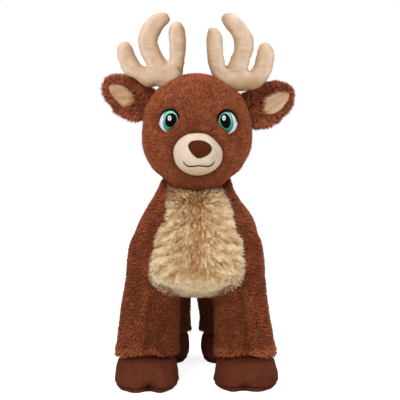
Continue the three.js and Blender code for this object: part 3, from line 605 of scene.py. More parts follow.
def surface_of(*pieces):
    """The pieces' faces together, for lines of sight to meet."""
    places, faces = [], []
    for piece in pieces:
        first = len(places)
        places += [vertex.co.copy() for vertex in piece.data.vertices]
        faces += [[first + i for i in polygon.vertices] for polygon in piece.data.polygons]
    return BVHTree.FromPolygons(places, faces)


def mesh_of(name, places, faces):
    """A mesh of some faces, all turned outwards."""
    mesh = bpy.data.meshes.new(name)
    mesh.from_pydata(places, [], faces)
    bm = bmesh.new()
    bm.from_mesh(mesh)
    bmesh.ops.recalc_face_normals(bm, faces=bm.faces)
    bm.to_mesh(mesh)
    bm.free()
    return mesh


def bands(rows, count):
    """The faces between rows of points, each row closed to a ring."""
    return [
        (i * count + k, i * count + n, (i + 1) * count + n, (i + 1) * count + k)
        for i in range(rows - 1)
        for k, n in ((k, (k + 1) % count) for k in range(count))
    ]


def patch(name, outline, ground, lift, dome, rings, sink=1 * MM, wave=None, roundness=1.0):
    """A closed patch laid on the ground inside an outline, its edge sunk and its middle raised."""
    loop = curved(outline, steps=4)
    middle = sum(loop) / len(loop)
    domed = np.sin(np.linspace(1.3, 0, rings, endpoint=False))
    shares = [(1.0, -sink), (1.0, 0.0), (0.985, 0.7 * lift)]
    shares += [(s, lift + dome * (1 - s**2) ** roundness) for s in domed]
    places = []
    for share, rise in shares:
        for point in loop:
            px, py = middle + (point - middle) * share
            places.append(laid_on(ground, px, py, rise + (wave(px, py, share) if wave else 0)))
    count = len(loop)
    faces = bands(len(shares), count)
    top = len(places)
    places.append(laid_on(ground, *middle, lift + dome + (wave(*middle, 0) if wave else 0)))
    places.append(laid_on(ground, *middle, -sink))
    last = (len(shares) - 1) * count
    for k in range(count):
        n = (k + 1) % count
        faces += [(last + k, last + n, top), (n, k, top + 1)]
    return shown(name, mesh_of(name, places, faces))


def ribbon(name, line, widths, ground, lift):
    """A closed raised band laid along a line of pixels, its widths in pixels too and its edges sunk."""
    line = curved(line, steps=6, closed=False)
    widths = np.interp(np.linspace(0, 1, len(line)), np.linspace(0, 1, len(widths)), widths)
    half = [(1, -0.5 * MM), (0.97, 0.85 * lift), (0.7, lift)]
    section = [(-share, rise) for share, rise in half] + half[::-1]
    places = []
    for i, (point, width) in enumerate(zip(line, widths)):
        ahead = line[min(i + 1, len(line) - 1)] - line[max(i - 1, 0)]
        side = np.array((-ahead[1], ahead[0])) / max(np.hypot(*ahead), 1e-6)
        for share, rise in section:
            places.append(laid_on(ground, *(point + side * share * width / 2), rise))
    around = len(section)
    faces = bands(len(line), around)
    faces += [tuple(range(around)), tuple(range((len(line) - 1) * around, len(line) * around))]
    return shown(name, mesh_of(name, places, faces))


def at_depth(px, py, depth):
    """Where the line of sight through a pixel crosses an upright plane."""
    way = sight(px, py)
    return CAMERA_PLACE + way * ((depth - CAMERA_PLACE.y) / way.y)


ROW_SHARE = 0.87  # from row to row in a mesh of even triangles, in lengths of their sides


def stuffed(name, outline, depth, half, spacing, inset):
    """A stuffed shape sewn from two panels cut to an outline, with round sides and a seam round its edge."""
    loop = [at_depth(px, py, depth) for px, py in curved(outline, steps=6)]
    loop = np.array([(place.x, place.z) for place in loop])
    ahead = np.roll(loop, -4, 0) - np.roll(loop, 4, 0)
    inward = np.stack([-ahead[:, 1], ahead[:, 0]], 1) / np.linalg.norm(ahead, axis=1, keepdims=True)
    turn = np.sum(loop[:, 0] * np.roll(loop[:, 1], -1) - loop[:, 1] * np.roll(loop[:, 0], -1))
    loop = loop + inward * inset * np.sign(turn)
    # Points at even steps round the edge, and in rows inside it
    steps = np.linalg.norm(np.roll(loop, -1, 0) - loop, axis=1)
    reach = np.concatenate([[0], np.cumsum(steps)])
    marks = np.linspace(0, reach[-1], round(reach[-1] / spacing), endpoint=False)
    closed = np.concatenate([loop, loop[:1]])
    edge = np.stack([np.interp(marks, reach, closed[:, i]) for i in (0, 1)], 1)
    low, high = edge.min(0), edge.max(0)
    columns = np.arange(low[0], high[0], spacing)
    rows = np.arange(low[1], high[1], spacing * ROW_SHARE)
    grid = np.array([(x + (spacing / 2 if i % 2 else 0), z) for i, z in enumerate(rows) for x in columns])
    ring = [tuple(point) for point in edge]
    grid = grid[depth_inside(ring, *grid.T) > 0.6 * spacing]
    flat = [Vector(point) for point in np.concatenate([edge, grid])]
    count = len(edge)
    sides = [(i, (i + 1) % count) for i in range(count)]
    flat, _, faces, *_ = delaunay_2d_cdt(flat, sides, [list(range(count))], 1, 1e-7)
    # The front panel bulges towards the camera and its twin away from it; they share the edge
    x, z = np.array([point.x for point in flat]), np.array([point.y for point in flat])
    room = np.clip(depth_inside(ring, x, z), 0, half)
    room[:count] = 0
    height = np.sqrt(half**2 - (half - room) ** 2)
    places = [(a, depth - h, b) for a, h, b in zip(x, height, z)]
    twin = list(range(len(places)))
    for i in range(count, len(x)):
        twin[i] = len(places)
        places.append((x[i], depth + height[i], z[i]))
    faces = [tuple(face) for face in faces] + [tuple(twin[i] for i in reversed(face)) for face in faces]
    return evened(shown(name, mesh_of(name, places, faces)), rounds=5)


# Finishes


def toned(colour, gain, pale=0.0):
    """A colour made darker or lighter by a gain, then mixed towards white."""
    return [min(c * gain, 1.0) * (1 - pale) + pale for c in colour[:3]] + [1.0]


def principled(name, roughness, specular, sheen=0.0):
    """A new material, its tree and its shader."""
    material = bpy.data.materials.new(name)
    material.use_nodes = True
    tree = material.node_tree
    tree.nodes.clear()
    values = {"Roughness": roughness, "Specular IOR Level": specular, "Sheen Weight": sheen}
    shader = node(tree, "ShaderNodeBsdfPrincipled", {**values, "Sheen Roughness": 0.4})
    node(tree, "ShaderNodeOutputMaterial", {"Surface": shader.outputs[0]})
    return material, tree, shader


def bumped(tree, height, depth, strength):
    """The normals of a relief of some depth."""
    relief = {"Height": height, "Distance": depth, "Strength": strength}
    return node(tree, "ShaderNodeBump", relief).outputs[0]


def fibre(name, tones, roots):
    """Polyester pile: each blade has its own tone, and is darkened towards its root as painted shade."""
    material, tree, shader = principled(name, roughness=0.75, specular=0.08, sheen=0.04)
    place = node(tree, "ShaderNodeUVMap", uv_map=BLADE_MAP).outputs[0]
    split = node(tree, "ShaderNodeSeparateXYZ", {0: place}).outputs
    both = {0: 1.0, 6: ramp(tree, split["X"], tones), 7: ramp(tree, split["Y"], roots)}
    mixed = node(tree, "ShaderNodeMix", both, data_type="RGBA", blend_type="MULTIPLY").outputs[2]
    feed(tree, shader, {"Base Color": mixed})
    return material


def cloth(name, dark, light, grain, depth, sheen=0.2):
    """A short napped cloth: mottled colour, a bump as coarse as its fibres, and the light and shade painted
    on the mesh.
    """
    material, tree, shader = principled(name, roughness=0.9, specular=0.06, sheen=sheen)
    place = node(tree, "ShaderNodeTexCoord").outputs["Object"]
    broad = {"Vector": place, "Scale": 1 / (9 * grain), "Detail": 3.0}
    fine = {"Vector": place, "Scale": 1 / grain, "Detail": 4.0, "Roughness": 0.65}
    broad, fine = (node(tree, "ShaderNodeTexNoise", each).outputs[0] for each in (broad, fine))
    half = math_node(tree, "MULTIPLY", math_node(tree, "ADD", broad, fine), 0.5)
    colour = ramp(tree, half, [(0.35, dark), (0.65, light)])
    painted_light_and_mottle = node(tree, "ShaderNodeAttribute", attribute_name="shade").outputs["Fac"]
    # The light and shade painted on the mesh scale its colour, and where they darken it the cloth is warmer
    kept = vector_node(tree, "MULTIPLY_ADD", painted_light_and_mottle, (0.75, 1.0, 1.35), (1.0, 1.0, 1.0))
    colour = vector_node(tree, "MULTIPLY", colour, kept)
    feed(tree, shader, {"Base Color": colour, "Normal": bumped(tree, fine, depth, strength=0.8)})
    return material


THREAD = 0.35 * MM  # from one thread of the embroidery to the next
EYE_HEIGHTS = (0.282, 0.306)  # the eyes' thread changes its tone from the lower to the upper one
IRIS_HEIGHTS = (0.284, 0.305)
SMILE_HEIGHTS = (0.24, 0.26)


def thread(name, stops, heights, lean, specular=0.2):
    """Embroidery in shiny rayon thread: fine ridges that lean one way, its colour changing with height."""
    material, tree, shader = principled(name, roughness=0.55, specular=specular)
    place = node(tree, "ShaderNodeTexCoord").outputs["Object"]
    split = node(tree, "ShaderNodeSeparateXYZ", {0: place}).outputs["Z"]
    span = {"Value": split, "From Min": heights[0], "From Max": heights[1]}
    height = node(tree, "ShaderNodeMapRange", span).outputs[0]
    turned = node(tree, "ShaderNodeMapping", {"Vector": place, "Rotation": (0, lean, 0)}).outputs[0]
    wave = {"Vector": turned, "Scale": 1 / (20 * THREAD), "Distortion": 1.0, "Detail Scale": 4.0}
    ridges = node(tree, "ShaderNodeTexWave", wave, bands_direction="X").outputs[1]
    colour = ramp(tree, math_node(tree, "MULTIPLY_ADD", ridges, 0.12, height), stops)
    feed(tree, shader, {"Base Color": colour, "Normal": bumped(tree, ridges, depth=0.08 * MM, strength=0.6)})
    return material


def finish(kind):
    """One finish of the toy, made when it is first asked for."""
    known = bpy.data.materials.get(kind)
    if known:
        return known
    deer = bpy.context.scene.plush_deer
    iris = deer.iris

    def pile_tones(colour, *gains):
        return list(zip((0.0, 0.35, 0.7, 1.0), (toned(colour, *gain) for gain in gains)))

    def ends(low, high):
        return [(0.0, low), (1.0, high)]

    def nap(colour, dark, light, *more):
        return cloth, toned(colour, dark), toned(colour, light), *more

    # Painted shade: the blades darken towards their roots, the cream pile's to gold
    shaded = [(0.0, [0.10, 0.07, 0.06, 1]), (0.5, [0.5, 0.45, 0.43, 1]), (0.9, [1, 1, 1, 1])]
    golden = [(0.0, [0.60, 0.36, 0.15, 1]), (0.38, [0.86, 0.65, 0.40, 1]), (0.8, [1, 1, 1, 1])]
    shaggy = [(0.0, linear("#CC9C66")), (0.3, linear("#EBCDA4"))]
    shaggy += [(0.6, toned(deer.cream, 1.15, 0.12)), (1.0, toned(deer.cream, 1.3, 0.65))]
    green = [(0.0, toned(iris, 0.35)), (0.5, toned(iris, 0.85)), (0.95, toned(iris, 1.5, 0.2))]
    maker, *given = {
        # Short minky pile: matt, each blade darkened towards its root as painted shade, so its tips look lit
        "Brown plush pile": (
            fibre, pile_tones(deer.brown, (0.65,), (1.3, 0.004), (1.9, 0.02), (2.6, 0.05)), shaded,
        ),
        # Longer, redder pile of the ears: separate locks with pale ends, darkened towards their roots as
        # painted shade
        "Red brown shaggy pile": (
            fibre, pile_tones(deer.ear_brown, (0.45,), (0.85,), (1.35, 0.01), (1.9, 0.04)), shaded,
        ),
        # Long cream pile of the chest: roots darkened to gold as painted shade between pale clumped tips
        "Cream shaggy pile": (fibre, shaggy, golden),
        # Backing cloth, dark as painted shade, seen only as depth between the fibres
        "Brown knitted backing": nap(deer.brown, 0.25, 0.45, 1.2 * MM, 0.4 * MM),
        # Backing of the long pile: golden brown, dark as painted shade between its fibres
        "Cream knitted backing": (cloth, linear("#9A6E3C"), linear("#C08F55"), 1.2 * MM, 0.4 * MM),
        # Muzzle: very short velvety nap, softly mottled
        "Cream brushed plush": nap(deer.muzzle, 0.86, 1.08, 0.9 * MM, 0.2 * MM),
        # Ear lining: the muzzle's plush, in the shade of the ear's fold
        "Cream ear lining": nap(deer.lining, 0.88, 1.1, 0.9 * MM, 0.2 * MM),
        # Antlers: short nap stretched over firm padding
        "Beige brushed plush": nap(deer.antler, 0.84, 1.14, 1.0 * MM, 0.25 * MM),
        # Hooves: matt suede with faint lighter rubs
        "Brown suede cloth": nap(deer.hoof, 0.74, 1.24, 1.1 * MM, 0.25 * MM, 0.0),
        # Nose: dense velour, almost flat
        "Brown velour": nap(deer.nose, 0.8, 1.1, 0.7 * MM, 0.12 * MM, 0.1),
        # White of the eye: cool, a little lilac in its shade
        "White rayon thread": (thread, ends(linear("#C9C4D8"), linear("#F1EEF6")), EYE_HEIGHTS, 0.5),
        # Iris: deep green below, mint towards the lid
        "Green rayon thread": (thread, green, IRIS_HEIGHTS, -0.6),
        # Rim stitched round the iris
        "Dark green rayon thread": (thread, ends(toned(iris, 0.12), toned(iris, 0.3)), EYE_HEIGHTS, 0.9),
        # Pupil and lid: near black, its thread ridges only just seen
        "Black rayon thread": (thread, ends(linear("#020203"), linear("#07060A")), EYE_HEIGHTS, 0.9, 0.03),
        # Smile: one dark line sunk in the cream plush
        "Dark brown thread": (thread, ends(linear("#1C0E09"), linear("#2E1A12")), SMILE_HEIGHTS, 0.3, 0.1),
    }[kind]
    return maker(kind, *given)


# Skins


def body_nodes(body):
    return [name for name, solid in frame["nodes"].items() if solid.parent == frame["bodies"][body]]


def leg_middle(row, side, heights):
    """The middle line of a leg at some heights: from its sole up to its hip."""
    low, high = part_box(f"hoof_sole_{row}_{side}")
    hip = JOINT[f"leg_{row}_{side}_swing"]["pos_m"]
    share = np.clip((heights - CUFF_HEIGHT) / (hip[2] - CUFF_HEIGHT), 0, 1)
    foot = (low + high) / 2
    return foot.x + (hip[0] - foot.x) * share, foot.y + (hip[1] - foot.y) * share


CHEST_BACK = -0.045  # the chest panel lies in front of this
CHEST_SPLIT = 240  # its long pile is two pieces, which meet at this row of the photograph
THROAT_HEIGHT = 0.204  # above it the torso's skin drops away at the front
BODY_SPLIT = 0.005  # the torso's pile is two pieces, which meet at this depth
REAR_SHIFT = {"left": (-0.0010, 0.0020), "right": (0.0078, 0.0020)}  # to the left, above and at the cuff
HOOF_SHIFT = {"left": 0.0015, "right": 0.0019}  # the rear hooves, which are also slimmer
CUFF_HEIGHT = 0.036
CUFF_FLARE = {"left": -0.6, "right": 0.2}  # millimetres more on the outer side
CUT_HEIGHT = 0.103  # above it the legs' skin stays with the torso
LEG_ROOM = 0.040  # half size of the zone round a leg's middle line
LEG_FADE = (0.125, 0.100)  # the legs' seams fade in between these heights
SEAM_FADE = (0.036, 0.052)  # and out again between these, by the cuff
SEAM_WIDTH = 2.8 * MM
SEAM_DEPTH = 2.6  # in millimetres
SEAM_PARTING = 14 * MM  # how far to both sides the pile turns away from a seam
BELLY_FADE = (0.118, 0.100)  # the belly sags from the first height down to the second
REAR_TOP = 0.130  # above it the rear legs' skin isn't shifted
STANCE = (  # how the body's sides stand out: side, lower and upper height, millimetres
    (-1, 0.108, 0.176, 1.3),
    (1, 0.166, 0.196, 1.3),
    (1, 0.196, 0.232, -2.4),
)


def leg_of(places, top=CUT_HEIGHT):
    """Which leg each place below the top belongs to, or -1 for the torso."""
    owner = np.full(len(places), -1)
    x, y, z = places.T
    for i, (row, side) in enumerate(LEGS):
        mid_x, mid_y = leg_middle(row, side, z)
        near = (np.abs(x - mid_x) < LEG_ROOM) & (np.abs(y - mid_y) < LEG_ROOM)
        owner[near & ((x - HEAD.x) * SIDES[side] > 0) & (z < top)] = i
    return owner


def part_of(name, mesh, faces_kept, closed=True):
    """The kept faces of a mesh as a piece of its own, its cut edges closed if it is to be a skin."""
    bm = bmesh.new()
    bm.from_mesh(mesh)
    bmesh.ops.delete(bm, geom=[face for face, kept in zip(bm.faces, faces_kept) if not kept], context="FACES")
    if closed:
        bmesh.ops.holes_fill(bm, edges=[edge for edge in bm.edges if edge.is_boundary], sides=0)
        bmesh.ops.triangulate(bm, faces=[face for face in bm.faces if len(face.verts) > 4])
    return shown(name, mesh_from(bm, name))


def grow(name, skin, kind, blade, seed, body, settings, soften=0.7):
    """Grows the pile of one skin, which goes, and lets it ride with its body; a leg's pile only has its place
    baked into its mesh.
    """
    piece = pile(name, skin, finish(kind), blade_of(blade), seed, settings, soften)
    if body.startswith("leg_"):
        bend_with_leg(piece)
    else:
        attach(piece, body)
    bpy.data.objects.remove(skin)


def bend_with_leg(piece):
    """Bakes the piece's place into its own mesh; it is given to no body."""
    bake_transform(piece)


def blade_of(name):
    """The blade of that name, kept out of the picture."""
    return bpy.data.objects.get(name) or bpy.data.objects.new(name, blade_mesh(name, *BLADES[name]))


def across_skin(arrows, normals):
    """Arrows with their part along the normal taken away."""
    return arrows - normals * np.sum(arrows * normals, 1, keepdims=True)


def plan_pile(mesh, cover, nap, comb, shade):
    """What the pile's nodes read from the skin."""
    for name, values in (("cover", cover), ("nap", nap), ("comb", comb), ("shade", shade)):
        store(mesh, name, values)


def shape_body(places, normals):
    """Draws in the seams, opens the throat, flares the cuffs and sets the toy's stance, all in place."""
    x, y, z = places.T
    places += normals * lumps(places, (34, 1.3, 1), (13, 0.5, 2))[:, None]
    # The seam down the front and back of each leg draws the cloth in, and parts the pile
    seams, parting = np.zeros(len(places)), np.zeros(len(places))
    for row, side in LEGS:
        mid_x, mid_y = leg_middle(row, side, z)
        near = np.exp(-(((x - mid_x) / SEAM_WIDTH) ** 2)) * (np.abs(y - mid_y) < LEG_ROOM)
        near *= smooth(*LEG_FADE, z) * (np.abs(normals[:, 1]) > 0.4) * smooth(*SEAM_FADE, z)
        off = (x - mid_x) / SEAM_PARTING
        parting += 0.9 * off * np.exp(0.5 - 2 * off**2) * smooth(*LEG_FADE, z)
        places -= normals * (near * SEAM_DEPTH * MM)[:, None]
        seams += near
    # The throat is open at the front, so that the chin hangs over it
    throat = smooth(-0.050, -0.070, y) * (z > THROAT_HEIGHT)
    z -= throat * 0.5 * (z - THROAT_HEIGHT)
    # Each cuff flares over its hoof, most on the outer side, where it also hangs lower
    for i, (row, side) in enumerate(LEGS):
        mid_x, mid_y = leg_middle(row, side, z)
        away = unit(np.stack([x - mid_x, y - mid_y], 1))
        mine = leg_of(places) == i
        low = smooth(0.080, 0.040, z) * mine
        outer = np.clip(away[:, 0] * SIDES[side], 0, 1)
        ahead = np.clip(-away[:, 1], 0, 1)
        places[:, :2] += away * (low * (0.8 + CUFF_FLARE[side] * outer + 1.2 * ahead) * MM)[:, None]
        hang = 4.8 * outer**2 + (0.6 - 2.2 * ahead) * (1 - outer) + (2.4 if row == "rear" else 0)
        z -= smooth(0.055, 0.038, z) * mine * hang * MM
        if row == "rear":
            wide = leg_of(places, REAR_TOP) == i
            above, at_cuff = REAR_SHIFT[side]
            shift = at_cuff + (above - at_cuff) * smooth(0.045, 0.090, z)
            x -= smooth(0.128, 0.100, z) * wide * shift
        elif side == "left":
            beside = smooth(0.2, 0.8, outer) * smooth(0.0, -0.015, y) * (x < mid_x)
            x -= smooth(0.135, 0.085, z) * beside * 3.2 * MM
    # The toy's own stance: a fuller left flank and right shoulder, a slimmer right side of the neck
    for sign, low, high, amount in STANCE:
        there = np.sin(np.clip((z - low) / (high - low), 0, 1) * math.pi) ** 0.7
        x += sign * there * smooth(0.010, 0.030, x * sign) * amount * MM
    belly = smooth(*BELLY_FADE, z) * smooth(CHEST_BACK, CHEST_BACK - 0.02, y)
    z -= belly * smooth(0.050, 0.030, np.abs(x)) * 2.2 * MM
    return np.clip(seams, 0, 1), parting


def plan_body(mesh, places, seams, parting):
    """Where the body's pile grows, how long it is, which way it lies and how it is shaded."""
    normals = normals_of(mesh)
    x, y, z = places.T
    inside = np.where(y < CHEST_BACK, behind(CHEST, places, normals), -9)
    from_head = np.linalg.norm(places - np.array(HEAD), axis=1)
    under_cuff = (normals[:, 2] < -0.5) & (z < 0.050)
    cover = smooth(0.050, 0.056, from_head) * (1 - smooth(3.5, 5.5, inside)) * ~under_cuff
    hem = smooth(0.050, 0.040, z)
    across = 0.4 * noise_at(places, 26 * MM, 4) + parting
    back = 0.25 + 0.35 * noise_at(places, 28 * MM, 5)
    comb = across_skin(np.stack([across, back, -np.ones(len(places))], 1), normals)
    # Painted shade along the seams and painted light high on the body; the hem is lighter too
    shade = 0.22 * hem - 0.25 * seams + 0.16 * smooth(0.160, 0.185, z)
    # Darker at the rear, between the legs and low on the left flank, where little light comes
    rear = (y > 0.02) * smooth(0.115, 0.100, z)
    within = np.clip(-normals[:, 0] * np.sign(x), 0, 1) * smooth(0.110, 0.095, z)
    shade -= 0.3 * rear + 0.2 * within + 0.14 * smooth(30, 18, 1000 * np.abs(x - HEAD.x)) * (z < 0.12)
    shade -= 0.25 * smooth(-0.050, -0.038, x) * (x < 0) * smooth(0.105, 0.090, z)
    plan_pile(mesh, cover, 1 + 0.3 * hem - 0.3 * seams, comb, shade)


def make_body():
    """Torso and legs: one smoothed skin round all of them, parted under the belly."""
    deer = bpy.context.scene.plush_deer
    torso = body_nodes("torso")
    covers = [n for row, side in LEGS for n in body_nodes(f"leg_{row}_{side}") if "hoof" not in n]
    whole = merged_solids("body_form", torso + covers, SKIN_VOXEL, rounds=16, rise=SKIN_RISE)
    mesh = whole.data
    places, normals = form_of(mesh)
    seams, parting = shape_body(places, normals)
    set_places(mesh, places)
    plan_body(mesh, places, seams, parting)

    centres = arrows_of(mesh.polygons, "center")
    owner = leg_of(centres)
    short = {
        "Density": deer.pile_density * 1.35e6, "Length": deer.pile_length, "Width": 0.54 * MM, "Lift": 1.0,
        "Lay": 0.5, "Jitter": 0.3, "Tuft size": 2.3 * MM, "Tuft pull": 1.3, "Patch size": 10 * MM,
    }

    def cover(name, body, faces, seed):
        growing = part_of(f"{name}_growing", mesh, faces, closed=False)
        grow(name, growing, "Brown plush pile", "blade_short", seed, body, short)

    skin = part_of("torso_skin", mesh, owner < 0)
    dress(skin, "Brown knitted backing", "torso", torso)
    front = centres[:, 1] < BODY_SPLIT
    cover("torso_pile_front", "torso", (owner < 0) & front, 1)
    cover("torso_pile_rear", "torso", (owner < 0) & ~front, 2)
    for i, (row, side) in enumerate(LEGS):
        body = f"leg_{row}_{side}"
        skin = part_of(f"{body}_skin", mesh, owner == i)
        solids = [n for n in body_nodes(body) if "hoof" not in n]
        dress(skin, "Brown knitted backing", None, solids)
        bend_with_leg(skin)
        cover(f"{body}_pile", body, owner == i, 3 + i)
    make_chest(mesh)
    bpy.data.objects.remove(whole)
    neck = merged_solids("neck_core", ["neck_stuffing"], voxel=2 * MM, rounds=4)
    dress(neck, "Brown knitted backing", "neck", ["neck_stuffing"])


def make_chest(mesh):
    """The long pile panel on the chest, on a backing of its own."""
    deer = bpy.context.scene.plush_deer
    centres, turned = arrows_of(mesh.polygons, "center"), arrows_of(mesh.polygons, "normal")
    kept = (behind(CHEST, centres, turned) > 1.5) & (centres[:, 1] < CHEST_BACK)

    def raised(piece):
        places, normals = form_of(piece.data)
        inside = depth_inside(CHEST, *seen_at(places))
        set_places(piece.data, places + normals * (0.4 * MM + 2 * MM * smooth(2, 14, inside))[:, None])
        return piece

    backing = raised(part_of("chest_backing", mesh, kept))
    dress(backing, "Cream knitted backing", "torso")
    upper = raised(part_of("chest_growing", mesh, kept, closed=False))
    places, normals = form_of(upper.data)
    px, py = seen_at(places)
    inside = depth_inside(CHEST, px, py)
    middle = TOY_COLUMN + 1.5 * np.sin(py / 9)  # of the panel, in pixels, and half its width
    half = np.interp(py, [185, 225, 250, 275], [30, 37, 44, 47])
    aside = (px - middle) / half
    off = np.abs(aside)
    # Rows of locks lie across the panel, outwards and down from its parting; their edges catch the light, and
    # lighter and darker rows are painted on as well
    rows = (py + 2.5 * np.sin(px / 7) + 5 * noise_at(places, 22 * MM, 23) - 0.3 * np.abs(px - middle)) / 1.7
    creased = smooth(205, 222, py) * smooth(0.1, 0.4, off) * (1 - 0.8 * smooth(0.6, 0.95, off))
    crease, parted = np.sin(rows) * creased, np.cos(rows) * creased
    low = smooth(258, 280, py)
    out = aside * (1.3 - 0.3 * low) + 0.35 * noise_at(places, 8 * MM, 21)
    down = -0.75 + 0.3 * np.clip(off, 0, 1) - 0.5 * low + 0.35 * noise_at(places, 9 * MM, 22) - 0.35 * parted
    comb = across_skin(np.stack([out, np.zeros(len(places)), down], 1), normals)
    parting = np.exp(-((aside / 0.16) ** 2)) * smooth(290, 262, py)
    nap = 1 - 0.3 * parting - 0.35 * smooth(206, 190, py) + 0.16 * crease
    nap *= 0.72 + 0.28 * smooth(1, 10, inside)
    # Painted shade in the parting and under the chin, painted light and shade along the rows, lighter towards
    # the sides, and darker in the middle above the short strip
    shade = 0.08 - 0.26 * parting + 0.14 * smooth(0.5, 1, off) + 0.16 * crease
    shade -= 0.12 * np.exp(-(((py - 208) / 9) ** 2)) * smooth(0.8, 0.3, off)
    shade -= 0.2 * smooth(258, 268, py) * smooth(284, 276, py) * smooth(0.55, 0.2, off)
    # How far inside the outline the long pile starts, and the strip of short pile under it
    edge = 1.9 + 1.7 * smooth(232, 222, py) + 2.0 * smooth(238, 245, py) * smooth(290, 280, py)
    edge += (2.8 * smooth(226, 217, py) * smooth(200, 208, py) - 2.4 * smooth(248, 260, py)) * (aside < 0)
    strip = smooth(0, 4, py - 271 - 8 * np.clip(off, 0, 1) ** 2)
    covered = smooth(0.4, 1.6, inside - edge) * (1 - strip)
    shag = {
        "Density": deer.shag_density * 1.6e6, "Length": deer.shag_length * 0.95, "Width": 0.58 * MM,
        "Lift": 0.5, "Lay": 0.95, "Jitter": 0.16, "Tuft size": 2.6 * MM, "Tuft pull": 1.8,
        "Patch size": 5 * MM, "Patch tone": 0.4, "Tuft tone": 0.6,
    }
    hem = shown("chest_hem_growing", upper.data.copy())
    lower = shown("chest_shag_lower_growing", upper.data.copy())
    halves = (("chest_shag_upper", upper, py < CHEST_SPLIT), ("chest_shag_lower", lower, py >= CHEST_SPLIT))
    for name, growing, there in halves:
        plan_pile(growing.data, covered * there, nap, comb, shade)
        grow(name, growing, "Cream shaggy pile", "blade_bent", 31, "torso", shag, soften=0.45)
    # The short strip: lighter overall and at its corners as painted light, and darker along its bottom edge
    # as painted shade
    shade = 0.22 - 0.12 * smooth(292, 299, py) + 0.2 * smooth(0.5, 0.9, off)
    plan_pile(hem.data, smooth(0.3, 1.2, inside) * strip, np.ones(len(places)), comb, shade)
    short = {
        "Density": deer.shag_density * 1.5e6, "Length": deer.shag_length * 0.42, "Width": 0.7 * MM,
        "Lift": 0.55, "Lay": 1.0, "Jitter": 0.2, "Tuft size": 4.5 * MM, "Tuft pull": 0.3,
        "Patch size": 10 * MM, "Patch tone": 0.5,
    }
    grow("chest_hem", hem, "Cream shaggy pile", "blade_bent", 32, "torso", short)


# Heights between which throat, chin, brow and jaw come in
THROAT = (0.243, 0.225)
CHIN = (0.243, 0.230)
BROW = (0.298, 0.325)
JAW = (HEAD.z - 0.012, HEAD.z - 0.052)
JAW_DROP = 6.0 * MM  # how much lower the jaw hangs
COMBED_FROM = np.array((HEAD.x + 2 * MM, HEAD.y - 0.075, HEAD.z - 0.016))  # the head's pile lies away from it


def make_head():
    """Head: the round skin with full cheeks, and the pile lying away from the muzzle."""
    deer = bpy.context.scene.plush_deer
    nodes = ["head_gusset", "head_side_left", "head_side_right", "head_stuffing"]
    head = merged_solids("head_skin", nodes, SKIN_VOXEL, rounds=12, rise=SKIN_RISE)
    mesh = head.data
    places, normals = form_of(mesh)
    x, y, z = places.T
    places += normals * lumps(places, (30, 0.8, 8))[:, None]
    # Narrower at the jaw, which hangs lower, and at the throat, and fuller at the right cheek
    jaw = smooth(*JAW, z)
    x -= (x - HEAD.x) * 0.07 * jaw
    z -= JAW_DROP * jaw**2
    x -= (x - HEAD.x) * 0.17 * smooth(*THROAT, z)
    x += smooth(0.045, 0.056, x) * smooth(0.315, 0.295, z) * smooth(0.245, 0.265, z) * 1.2 * MM
    set_places(mesh, places)
    normals = normals_of(mesh)
    dress(head, "Brown knitted backing", "head", nodes)

    # Shorter round the eyes and at the brow, none under eyes and muzzle, and combed away from the nose
    growing = shown("head_growing", mesh.copy())
    cover, nap = np.ones(len(places)), np.ones(len(places))
    for eye in EYES.values():
        edge = behind(eye["white"], places, normals)
        cover *= 1 - smooth(-1.7, -0.8, edge)
        nap *= 1 - 0.4 * smooth(-6, -1.5, edge)
    by_muzzle = behind(MUZZLE, places, normals)
    cover *= 1 - smooth(0.2, 1.8, by_muzzle)
    comb = unit(across_skin(places - COMBED_FROM, normals))
    comb[:, 0] += 0.35 * noise_at(places, 18 * MM, 14)
    comb[:, 2] += 0.35 * noise_at(places, 18 * MM, 15)
    brow = smooth(*BROW, z) * (y < -0.05)
    chin = smooth(*CHIN, z) * smooth(0.0, -0.03, y)
    # Painted shade and light: a dark ring round the muzzle, a darker chin and a slightly lighter crown
    shade = -0.08 + 0.04 * smooth(0.30, 0.34, z) - 0.3 * np.exp(-((by_muzzle / 2.2) ** 2)) - 0.16 * chin
    plan_pile(growing.data, cover, nap * (1 - 0.35 * brow), comb, shade)
    short = {
        "Density": deer.pile_density * 1.6e6, "Length": deer.pile_length, "Width": 0.58 * MM, "Lift": 0.85,
        "Lay": 0.7, "Jitter": 0.3, "Tuft size": 2.4 * MM, "Tuft pull": 0.85, "Patch size": 8 * MM,
    }
    grow("head_pile", growing, "Brown plush pile", "blade_short", 41, "head", short)
    make_face(head)


def oval(middle, across, up):
    """Eight points round a middle, all in pixels."""
    turns = np.linspace(0, 2 * math.pi, 9)[:-1]
    return [(middle[0] + across * math.cos(turn), middle[1] + up * math.sin(turn)) for turn in turns]


IRIS_SHARE = 0.925  # of the dark rim's size
SMILE_WIDTHS = [0.6, 1.1, 1.4, 1.3, 1.1, 1.3, 1.4, 1.1, 0.6]
CHIN_SEAM = 199.3  # the column of the seam from the smile down to the chin


